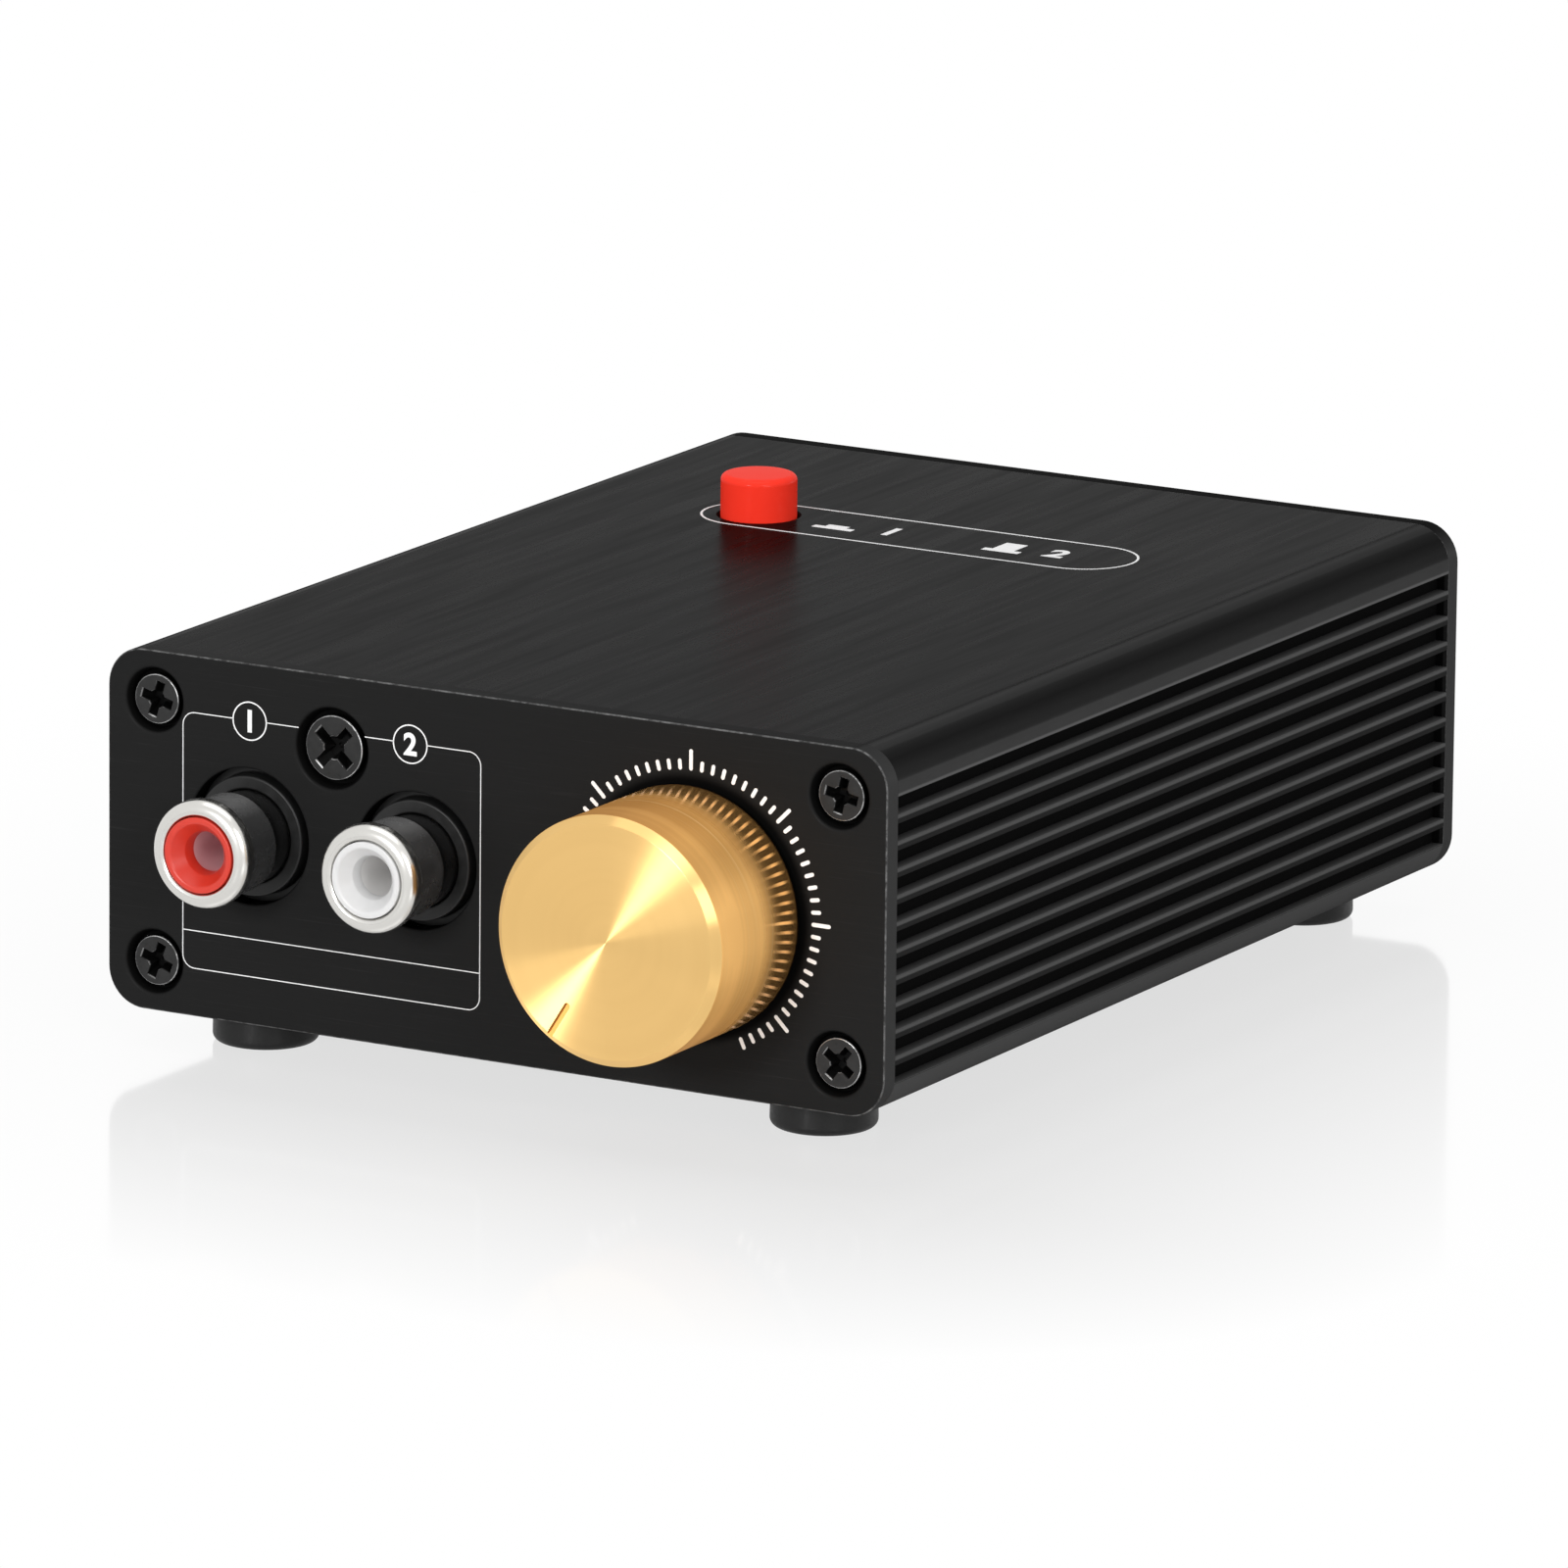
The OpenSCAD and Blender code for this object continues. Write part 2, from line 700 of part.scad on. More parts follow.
module phono_shells() {
    lip_y = lip_roll / 2 - phono_reach;
    color("#d6d6d0") phono_places() turned() {
        translate([shell_inner_r, lip_y]) {
            square([neck_d / 2 - shell_inner_r, panel_t + barrel_hold - lip_y]);
            square([barrel_d / 2 - shell_inner_r, -neck_l - lip_y]);
        }
        intersection() {
            translate([(lip_d - lip_roll) / 2, lip_y]) circle(d = lip_roll);
            translate([shell_inner_r, -phono_reach - cut]) square([lip_d, lip_roll + 2 * cut]);
        }
    }
}

module phono_insulator(side) {
    face = insulator_recess - phono_reach;
    back = panel_t + barrel_hold;
    seat = contact_d / 2 + fit_gap;
    translate([phono_x + side * phono_pitch / 2, 0, phono_z]) turned() {
        polygon([[funnel_d / 2, face], [insulator_d / 2, face], [insulator_d / 2, back], [seat, back],
            [seat, contact_front - fit_gap], [centre_d / 2, contact_front - fit_gap],
            [centre_d / 2, face + funnel_depth]]);
    }
}

module phono_contacts() {
    color("#d2b45a") phono_places() {
        difference() {
            union() {
                bar_y(contact_d, contact_front, contact_back);
                block_y(terminal_w, housing_back + slide_gap, contact_back, -phono_rise, 0);
            }
            bar_y(contact_d - 2 * contact_wall, contact_front - cut, housing_back - contact_wall);
        }
    }
}

module fixing_screw() {
    color("#151515") translate([phono_x, 0, fixing_z]) {
        screw(fixing_head_d, fixing_d, fixing_len, fixing_turn);
    }
}

// Rear connectors

module jack_frame() {
    rear_frame() translate([jack_x, 0, jack_z]) children();
}

module jack_body() {
    color("#171717") jack_frame() difference() {
        block_y(jack_w, panel_t, panel_t + jack_l, -jack_rise, jack_w / 2);
        bar_y(jack_bushing_d + 2 * fit_gap, panel_t - cut, panel_t + jack_hold + fit_gap);
        bar_y(jack_bore_d, panel_t, panel_t + jack_l - jack_wall);
    }
}

module jack_bushing() {
    color("#cdcdc8") jack_frame() difference() {
        bar_y(jack_bushing_d, -jack_reach, panel_t + jack_hold);
        bar_y(jack_bore_d, -jack_reach - cut, panel_t + jack_hold + cut);
    }
}

module jack_nut() {
    color("#c4c4be") jack_frame() difference() {
        bar_y(jack_nut_d, -jack_nut_t, 0);
        bar_y(jack_bushing_d + 2 * fit_gap, -jack_nut_t - cut, cut);
    }
}

module inlet_frame() {
    rear_frame() translate([inlet_x, 0, inlet_z]) children();
}

module power_inlet() {
    color("#171717") inlet_frame() difference() {
        union() {
            block_y(inlet_w, panel_t, panel_t + inlet_l, -inlet_rise, inlet_head);
            bar_y(inlet_collar_d, slide_gap, panel_t);
        }
        bar_y(inlet_bore_d, -cut, inlet_depth);
        bar_y(pin_root_d + 2 * fit_gap, -cut, panel_t + inlet_l + cut);
    }
}

module power_pin() {
    color("#cdcdc8") inlet_frame() {
        bar_y(pin_d, pin_setback, inlet_depth);
        bar_y(pin_root_d, inlet_depth, panel_t + inlet_l);
    }
}

// Board and what stands on it

module main_board() {
    color("#1f5a34") front_frame() {
        block_y(board_w, board_front, board_front + board_l, board_bottom, board_top);
    }
}

module button_frame() {
    front_frame() translate([button_x, button_y, 0]) children();
}

module selector_switch() {
    well = plunger_w + 2 * slide_gap;
    color("#2a2a2c") button_frame() difference() {
        post(switch_w, switch_w, board_top, switch_top);
        post(well, well, spring_z, switch_top + cut);
    }
}

module selector_plunger() {
    color("#e8e8e4") button_frame() post(plunger_w, plunger_w, plunger_bottom, plunger_top);
}

module selector_spring() {
    color("#b8b8b4") button_frame() translate([0, 0, spring_z]) difference() {
        cylinder(d = spring_d, h = spring_l);
        translate([0, 0, -cut]) cylinder(d = spring_d - 2 * wire_d, h = spring_l + 2 * cut);
    }
}

module button_cap() {
    socket = plunger_w + 2 * fit_gap;
    length = cap_top - cap_bottom;
    color("#e0281e") button_frame() difference() {
        translate([0, 0, cap_bottom]) rotate_extrude() {
            square([button_d / 2 - button_round, length]);
            square([button_d / 2, length - button_round]);
            translate([button_d / 2 - button_round, length - button_round]) intersection() {
                circle(button_round);
                square(button_round);
            }
        }
        post(socket, socket, cap_bottom - cut, plunger_top + fit_gap);
    }
}

module on_board(x, y) {
    front_frame() translate([x, board_mid_y + y, board_top]) children();
}

module reservoir_capacitors() {
    color("#26324a") for (i = [0, 1]) {
        on_board(reservoir_x, reservoir_y + i * reservoir_pitch) cylinder(d = reservoir_d, h = reservoir_h);
    }
}

module film_capacitors() {
    color("#b5342a") for (i = [0 : film_n - 1]) {
        on_board(film_x + i * film_pitch, film_y) post(film_t, film_l, 0, film_h);
    }
}

module chip_socket() {
    color("#202022") on_board(chip_x, chip_y) post(chip_socket_w, chip_l, 0, chip_socket_h);
}

module amplifier_chip() {
    color("#141416") on_board(chip_x, chip_y) post(chip_w, chip_l, chip_socket_h, chip_socket_h + chip_t);
}

module voltage_regulator() {
    color("#303032") on_board(regulator_x, regulator_y) post(regulator_w, regulator_w, 0, regulator_t);
}

module resistors() {
    color("#6fa0c8") for (row = [0, 1], i = [0 : resistor_n - 1]) {
        on_board(resistor_x + row * resistor_row, resistor_y + i * resistor_pitch) {
            translate([-resistor_l / 2, 0, resistor_d / 2]) rotate([0, 90, 0]) {
                cylinder(d = resistor_d, h = resistor_l);
            }
        }
    }
}

case_extrusion();
front_panel();
rear_panel();
front_frame() panel_screws();  // front_panel_screws
rear_frame() panel_screws();  // rear_panel_screws
foot(-1, foot_inset_y);  // foot_front_left
foot(1, foot_inset_y);  // foot_front_right
foot(-1, case_d - foot_inset_y);  // foot_rear_left
foot(1, case_d - foot_inset_y);  // foot_rear_right
volume_knob();
knob_grub_screw();
pot_shaft();
pot_rotor();
pot_bushing();
pot_can();
pot_wafer();
pot_terminals();
pot_washer();
pot_nut();
front_frame() phono_housing();  // front_phono_housing
front_frame() phono_shells();  // front_phono_shells
color("#d83a2c") front_frame() phono_insulator(-1);  // front_insulator_red
color("#e6e6e4") front_frame() phono_insulator(1);  // front_insulator_white
front_frame() phono_contacts();  // front_phono_contacts
front_frame() fixing_screw();  // front_fixing_screw
rear_frame() phono_housing();  // rear_phono_housing
rear_frame() phono_shells();  // rear_phono_shells
color("#d83a2c") rear_frame() phono_insulator(-1);  // rear_insulator_red
color("#e6e6e4") rear_frame() phono_insulator(1);  // rear_insulator_white
rear_frame() phono_contacts();  // rear_phono_contacts
rear_frame() fixing_screw();  // rear_fixing_screw
jack_body();
jack_bushing();
jack_nut();
power_inlet();
power_pin();
main_board();
selector_switch();
selector_plunger();
selector_spring();
button_cap();
reservoir_capacitors();
film_capacitors();
chip_socket();
amplifier_chip();
voltage_regulator();
resistors();
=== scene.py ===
import json
from math import atan2, cos, hypot, pi, radians, sin, sqrt, tan
from types import SimpleNamespace

import bmesh
import bpy
from mathutils import Matrix, Vector


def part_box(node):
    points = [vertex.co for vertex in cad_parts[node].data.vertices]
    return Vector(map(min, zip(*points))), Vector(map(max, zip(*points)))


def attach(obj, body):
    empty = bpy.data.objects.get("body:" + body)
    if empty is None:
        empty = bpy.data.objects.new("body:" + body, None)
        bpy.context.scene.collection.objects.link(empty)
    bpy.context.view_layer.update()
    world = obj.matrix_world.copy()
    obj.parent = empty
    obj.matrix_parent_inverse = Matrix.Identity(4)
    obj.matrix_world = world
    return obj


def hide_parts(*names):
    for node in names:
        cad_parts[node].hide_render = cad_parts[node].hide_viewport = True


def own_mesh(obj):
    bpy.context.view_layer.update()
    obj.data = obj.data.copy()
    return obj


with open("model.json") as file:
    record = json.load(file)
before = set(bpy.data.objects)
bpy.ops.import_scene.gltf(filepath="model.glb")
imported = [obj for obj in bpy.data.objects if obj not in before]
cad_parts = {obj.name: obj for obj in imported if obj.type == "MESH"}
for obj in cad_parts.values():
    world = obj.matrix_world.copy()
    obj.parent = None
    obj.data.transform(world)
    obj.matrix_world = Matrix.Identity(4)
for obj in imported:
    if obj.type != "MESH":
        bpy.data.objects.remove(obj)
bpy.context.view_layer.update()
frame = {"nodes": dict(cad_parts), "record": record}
nodes = frame["nodes"]
mm = 0.001
scene = bpy.context.scene
print("frame loaded:", len(nodes), "nodes")


# places are in millimetres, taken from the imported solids
def boxOf(node):
    low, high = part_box(node)
    return low / mm, high / mm


def middleOf(node):
    low, high = boxOf(node)
    return (low + high) / 2


# a dictionary's values as k.name
def named(values):
    return SimpleNamespace(**values)


def shift(x, y, z):
    return Matrix.Translation((x, y, z))


panelLow, panelHigh = boxOf("front_panel")
frontY, rearY = panelLow.y, boxOf("rear_panel")[1].y
bottomZ, topZ = panelLow.z, panelHigh.z
caseW, caseH = panelHigh.x - panelLow.x, panelHigh.z - panelLow.z
panelT = panelHigh.y - panelLow.y
knobMiddle = middleOf("volume_knob")
# local frames: origin on the outer face of a panel at the bottom of the case, +Y into the case
frontFrame = shift(0, frontY, bottomZ)
rearFrame = shift(0, rearY, bottomZ) @ Matrix.Rotation(pi, 4, "Z")


# a piece from a shape, which is a list of points and a list of faces
def addMesh(name, shape, finish, smooth=38, weld=0.0):
    mesh = bpy.data.meshes.new(name)
    mesh.from_pydata([Vector(v) * mm for v in shape[0]], [], shape[1])
    return addPiece(name, mesh, finish, smooth, weld)


def addPiece(name, mesh, finish, smooth=38, weld=0.0):
    bm = bmesh.new()
    bm.from_mesh(mesh)
    if weld:
        bmesh.ops.remove_doubles(bm, verts=bm.verts, dist=weld * mm)
    bmesh.ops.recalc_face_normals(bm, faces=bm.faces)
    bm.to_mesh(mesh)
    bm.free()
    mesh.shade_smooth()
    mesh.set_sharp_from_angle(angle=radians(smooth))
    mesh.materials.clear()
    mesh.materials.append(finish)
    return addObject(name, mesh)


def addObject(name, data):
    holder = bpy.data.objects.new(name, data)
    scene.collection.objects.link(holder)
    return holder


def seat(piece, slotName, *replaced, body="chassis"):
    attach(piece, body)
    if replaced:
        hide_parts(*replaced)


def moved(shape, matrix):
    return [matrix @ Vector(v) for v in shape[0]], shape[1]


def gather(shapes):
    verts, faces = [], []
    for v, f in shapes:
        base = len(verts)
        verts += [Vector(p) for p in v]
        faces += [[i + base for i in face] for face in f]
    return verts, faces


def circleAngles(steps):
    return [2 * pi * i / steps for i in range(steps)]


# corners with a third number get a fillet of that radius, held by a close point on either side
def softCorners(points, closed=True, steps=5, hold=0.05):
    out = []
    count = len(points)
    for i, p in enumerate(points):
        if len(p) == 2 or (not closed and i in (0, count - 1)):
            out.append(Vector(p[:2]))
            continue
        b, radius = Vector(p[:2]), p[2]
        u = (Vector(points[i - 1][:2]) - b).normalized()
        v = (Vector(points[(i + 1) % count][:2]) - b).normalized()
        half = u.angle(v) / 2
        reach = radius / tan(half)
        centre = b + (u + v).normalized() * radius / sin(half)
        start, end = b + u * reach - centre, b + v * reach - centre
        first = atan2(start.y, start.x)
        sweep = (atan2(end.y, end.x) - first + pi) % (2 * pi) - pi
        out.append(b + u * (reach + hold))
        for k in range(steps + 1):
            a = first + sweep * k / steps
            out.append(centre + radius * Vector((cos(a), sin(a))))
        out.append(b + v * (reach + hold))
    return out


# turns a profile of (radius, along) about the Y axis
def lathe(profile, steps, closed=False):
    verts, faces, rings = [], [], []
    for r, t in profile:
        first = len(verts)
        if r < 1e-5:
            verts.append((0, t, 0))
            rings.append([first] * steps)
        else:
            verts += [(r * sin(a), t, r * cos(a)) for a in circleAngles(steps)]
            rings.append(list(range(first, first + steps)))
    pairs = list(zip(rings, rings[1:])) + ([(rings[-1], rings[0])] if closed else [])
    for a, b in pairs:
        for i in range(steps):
            j = (i + 1) % steps
            corners = list(dict.fromkeys((a[i], a[j], b[j], b[i])))
            if len(corners) > 2:
                faces.append(corners)
    return verts, faces


def finalMesh(holder):
    graph = bpy.context.evaluated_depsgraph_get()
    return bpy.data.meshes.new_from_object(holder.evaluated_get(graph))


def cutAway(piece, cutters):
    for cutter in cutters:
        change = piece.modifiers.new("cut", "BOOLEAN")
        change.operation = "DIFFERENCE"
        change.solver = "EXACT"
        change.object = cutter
    mesh = finalMesh(piece)
    piece.modifiers.clear()
    piece.data = mesh
    for cutter in cutters:
        bpy.data.objects.remove(cutter)


def bevelEdges(bm, edges, width, steps):
    bmesh.ops.bevel(bm, geom=edges, offset=width * mm, offset_type="OFFSET", segments=steps, profile=0.5,
                    affect="EDGES", clamp_overlap=True)


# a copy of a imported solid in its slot's finish, with its sharp edges rounded, or only those that pass a test
copyRules = dict(weld=1e-6, flat=0.5, sharp=28, smooth=40)


def addCopy(name, node, slotName, width, test=None, steps=2):
    k = named(copyRules)
    mesh = nodes[node].data.copy()
    bm = bmesh.new()
    bm.from_mesh(mesh)
    bmesh.ops.remove_doubles(bm, verts=bm.verts, dist=k.weld)
    bmesh.ops.dissolve_limit(bm, angle_limit=radians(k.flat), verts=bm.verts, edges=bm.edges)
    picked = [e for e in bm.edges if len(e.link_faces) == 2 and e.calc_face_angle(0) >= radians(k.sharp)]
    if test:
        picked = [e for e in picked if test((e.verts[0].co + e.verts[1].co) / 2 / mm)]
    bevelEdges(bm, picked, width, steps)
    bm.to_mesh(mesh)
    bm.free()
    mesh.name = name
    if "custom_normal" in mesh.attributes:
        mesh.attributes.remove(mesh.attributes["custom_normal"])
    piece = addPiece(name, mesh, finishes[slotName], k.smooth)
    piece.modifiers.new("weightedNormals", "WEIGHTED_NORMAL").keep_sharp = True
    seat(piece, slotName, node)


# a turned piece in its slot's finish
def addTurned(name, profile, steps, where, slotName, node, body="chassis", closed=False):
    piece = addMesh(name, moved(lathe(profile, steps, closed), where), finishes[slotName])
    seat(piece, slotName, node, body=body)


def feed(socket, value):
    if isinstance(value, bpy.types.NodeSocket):
        socket.id_data.links.new(value, socket)
    else:
        socket.default_value = value


# a shader node in the given tree, or in the tree of its first linked input
def addNode(kind, inputs, tree=None, **settings):
    tree = tree or next(v.id_data for v in inputs.values() if isinstance(v, bpy.types.NodeSocket))
    node = tree.nodes.new("ShaderNode" + kind)
    for key, value in settings.items():
        setattr(node, key, value)
    for key, value in inputs.items():
        feed(node.inputs[key], value)
    return node


def addMath(operation, a, b=0.0, clamp=False):
    return addNode("Math", {0: a, 1: b}, operation=operation, use_clamp=clamp).outputs[0]


def multiply(a, b):
    return addMath("MULTIPLY", a, b)


def subtract(a, b):
    return addMath("SUBTRACT", a, b)


def remap(value, low, high, toLow=0.0, toHigh=1.0, smooth=False):
    limits = {"Value": value, "From Min": low, "From Max": high, "To Min": toLow, "To Max": toHigh}
    return addNode("MapRange", limits, interpolation_type="SMOOTHSTEP" if smooth else "LINEAR").outputs[0]


# the same with its limits in millimetres
def span(value, low, high, *to, smooth=False):
    return remap(value, low * mm, high * mm, *to, smooth=smooth)


# a noise value brought to the given limits
def spread(noise, low=0.0, high=1.0):
    return remap(noise, 0.3, 0.7, low, high)


def mix(factor, a, b):
    return addNode("Mix", {0: factor, 6: a, 7: b}, data_type="RGBA").outputs[2]


def blend(factor, a, b):
    return addNode("Mix", {0: factor, 2: a, 3: b}).outputs[0]


def addNoise(vector, scale, detail, rough):
    return addNode("TexNoise", {"Vector": vector, "Scale": scale, "Detail": detail, "Roughness": rough}).outputs[0]


def addVector(operation, a, b=(0.0, 0.0, 0.0)):
    return addNode("VectorMath", {0: a, 1: b}, operation=operation).outputs[0]


def lengthOf(vector):
    return addNode("VectorMath", {0: vector}, operation="LENGTH").outputs["Value"]


def splitOf(vector):
    return addNode("SeparateXYZ", {0: vector}).outputs


def vectorOf(x, y, z):
    return addNode("CombineXYZ", {0: x, 1: y, 2: z}).outputs[0]


def greyFrom(tone):
    return addNode("CombineColor", {0: tone, 1: tone, 2: tone}).outputs[0]


# the parts of the normal, beside a place from the same node
def facingOf(place):
    return splitOf(place.node.outputs["Normal"])


# how far a point lies outside a box about the origin
def outsideOf(place, reach):
    return lengthOf(addVector("MAXIMUM", addVector("SUBTRACT", addVector("ABSOLUTE", place), reach)))


# depth behind the outer face of the nearer end panel
def depthOf(y):
    front, rear = (addMath("ABSOLUTE", subtract(y, face * mm)) for face in (frontY, rearY))
    return addMath("MINIMUM", front, rear)


def rgb(r, g, b):
    return (r, g, b, 1.0)


def grey(v):
    return rgb(v, v, v)


# a tone read from a list of (place, value) stops
def addStops(value, stops):
    node = addNode("ValToRGB", {0: value})
    ramp = node.color_ramp
    for place, tone in stops[1:-1]:
        ramp.elements.new(place).color = grey(tone)
    for element, (place, tone) in ((ramp.elements[0], stops[0]), (ramp.elements[-1], stops[-1])):
        element.position, element.color = place, grey(tone)
    return node.outputs[0]


def newGroup(name, outputs, **inputs):
    group = bpy.data.node_groups.new(name, "ShaderNodeTree")
    for label, kind in inputs.items():
        group.interface.new_socket(label, in_out="INPUT", socket_type="NodeSocket" + kind)
    for label in outputs:
        group.interface.new_socket(label, in_out="OUTPUT", socket_type="NodeSocketFloat")
    return group, group.nodes.new("NodeGroupInput").outputs, group.nodes.new("NodeGroupOutput").inputs


# detail and roughness of each noise, after its scale where that is fixed
noises = dict(streaks=(1.0, 5.0, 0.62), bands=(0.16, 2.0, 0.5), clouds=(4.0, 0.6), patches=(5.0, 0.7))
wearGlint = dict(rise=(0.2, 0.5), fall=(0.98, 0.9), patches=(0.4, 0.62, 0.15))


# brush streaks: a noise drawn out by a different factor along each axis
def buildBrushGrain():
    group, given, out = newGroup("brushGrain", ("Streaks", "Bands"), Vector="Vector", Stretch="Vector")
    drawn = addVector("MULTIPLY", given["Vector"], given["Stretch"])
    feed(out["Streaks"], addNoise(drawn, *noises["streaks"]))
    feed(out["Bands"], addNoise(drawn, *noises["bands"]))
    return group


# soft clouds, for plastics, rubber, plating and ink
def buildFineMottle():
    group, given, out = newGroup("fineMottle", ("Clouds",), Vector="Vector", Scale="Float")
    feed(out["Clouds"], addNoise(given["Vector"], given["Scale"], *noises["clouds"]))
    return group


# bare metal along rounded edges, where the normal has turned part of the way, broken up by noise; its light tone is
# partly wear and partly a painted glint
def buildEdgeWearGlint():
    group, given, out = newGroup("edgeWearGlint", ("EdgeGlintWear",), Vector="Vector", Turn="Float", Break="Float")
    edge = multiply(remap(given["Turn"], *wearGlint["rise"]), remap(given["Turn"], *wearGlint["fall"]))
    patches = addNoise(given["Vector"], given["Break"], *noises["patches"])
    feed(out["EdgeGlintWear"], multiply(edge, remap(patches, *wearGlint["patches"])))
    return group


brushGrain = buildBrushGrain()
fineMottle = buildFineMottle()
edgeWearGlint = buildEdgeWearGlint()
print("shared effects built")


def newFinish(name, **values):
    finish = bpy.data.materials.new(name)
    finish.use_nodes = True
    shader = finish.node_tree.nodes["Principled BSDF"]
    shade(shader, **values)
    return finish, shader, addNode("TexCoord", {}, finish.node_tree).outputs["Object"]


def shade(shader, **sockets):
    for key, value in sockets.items():
        feed(shader.inputs[key.replace("_", " ")], value)


def useGroup(group, **values):
    return addNode("Group", values, node_tree=group).outputs


def bumpFrom(height, strength, distance=0.00003):
    return addNode("Bump", {"Height": height, "Strength": strength, "Distance": distance}).outputs[0]


# black anodise, shared by the case and the panels; flatUp is where a surface counts as level
anodise = dict(tint=0.36, streak=0.04, worn=0.15, flatUp=(0.985, 0.998))
# the case's tones: painted shade in the grooves, painted highlights along the lands and the side band, and a lighter
# bottom band that paints the floor's reflection
caseFinish = dict(
    stretch=(6500.0, 330.0, 900.0), rough=(0.24, 0.34), bump=0.035, land=0.021, edge=0.085, wall=0.095,
    wallEnd=0.0285, groove=0.006, lower=0.067, line=0.105, lineFrom=0.18, lineTo=0.3, recess=(0.09, 0.12),
    levels=(0.3, 0.8), slopes=(0.15, 0.45), blur=0.02,
)
# painted light and shade: tones of the long rounded edge, from the side band (0) to the flat top (1) by the upward
# share of the normal, darker across the rounding with a light line near the top
crownLightStops = (
    (0.0, 0.0475), (0.17, 0.0455), (0.22, 0.025), (0.27, 0.0213), (0.415, 0.019), (0.545, 0.0145), (0.67, 0.0112),
    (0.80, 0.0154), (0.857, 0.02), (0.883, 0.031), (0.92, 0.034), (0.95, 0.0376), (0.97, 0.0445), (0.985, 0.04),
    (1.0, 0.038),
)
# the ribbed side, with the reach of the painted highlight along each land and the depth of the painted shade in each
# groove
ribs = dict(
    middle=16.23, pitch=2.0, mouth=0.73, edge=0.12, fade=0.26, depth=1.2, low=bottomZ + 2.4, high=bottomZ + 23.8,
)


def newAnodise(name, stretch):
    finish, shader, place = newFinish(name, Specular_IOR_Level=0.0, Specular_Tint=grey(anodise["tint"]))
    grain = useGroup(brushGrain, Vector=place, Stretch=stretch)
    streak = spread(grain["Streaks"], 1 - anodise["streak"], 1 + anodise["streak"])
    return finish, shader, place, grain, streak


def buildCaseBlack():
    k, r = named(caseFinish), named(ribs)
    finish, shader, place, grain, streak = newAnodise("brushedBlackCase", k.stretch)
    parts = splitOf(place)
    upward, height = facingOf(place)["Z"], parts["Z"]
    inward = subtract(caseW / 2 * mm, addMath("ABSOLUTE", parts["X"]))
    paintedCrown = multiply(addStops(upward, crownLightStops), streak)
    # a painted highlight: a light line where the side band meets the first groove
    paintedCrown = blend(span(height, r.high + k.lineFrom, r.high + k.lineTo), k.line, paintedCrown)
    # ribs, in painted shade and highlight: walls that darken inwards, dark groove floors, lands that are bright along
    # their upper edge and on upward slopes
    wall = span(inward, 0.0, r.depth, k.wall, k.wallEnd)
    inside = blend(remap(upward, *k.levels), k.groove, wall)
    below = addMath("DIVIDE", subtract((r.middle - r.mouth) * mm, height), r.pitch * mm)
    land = remap(addMath("FRACT", below), r.edge / r.pitch, r.fade / r.pitch, k.edge, k.land, smooth=True)
    land = blend(remap(upward, *k.slopes), land, k.edge)
    tone = blend(span(inward, *k.recess), land, inside)
    tone = blend(span(height, r.high - k.blur, r.high + k.blur), tone, paintedCrown)
    # painted reflection of the floor: the band along the bottom is lighter
    tone = blend(span(height, r.low, r.low - 2 * k.blur), tone, k.lower)
    # only the level top mirrors
    level = multiply(remap(upward, *anodise["flatUp"]), span(height, topZ - 1.0, topZ - 0.5))
    shade(shader, Base_Color=greyFrom(tone), Roughness=spread(grain["Bands"], *k.rough), Metallic=level,
          Normal=bumpFrom(grain["Streaks"], k.bump))
    return finish


panelPlate = dict(
    edge=0.16, holeEdge=0.2, backEdge=0.02, holeBack=0.05, cornerR=3.0, screwInsetX=4.0, screwInsetZ=3.75,
    phonoInset=19.3, phonoPitch=14.35, phonoR=5.15, fixingInset=5.55, screwDish=2.32, screwHole=1.4,
    fixingDish=2.95, fixingHole=1.5, headDepth=1.1, headSink=0.3, dialR=3.6, jackR=3.1, inletR=4.1,
)
# the panel's tones: painted shade in holes, recesses and a ring round the knob, and sides and top painted lighter
# than the face
panelFinish = dict(
    stretch=(110.0, 900.0, 7500.0), rough=(0.28, 0.38), bump=0.08, face=0.0165, side=0.046, top=0.038,
    rearTop=0.012, hole=0.004, deep=(0.02, 0.16), scratches=(0.6, 0.75, 1.0, 1.5), ring=(9.5, 10.4, 0.2, 1.0),
    metal=0.12, rim=(-0.4, -0.3), levels=(0.3, 0.9), turns=(0.3, 0.8), patches=1500.0,
)


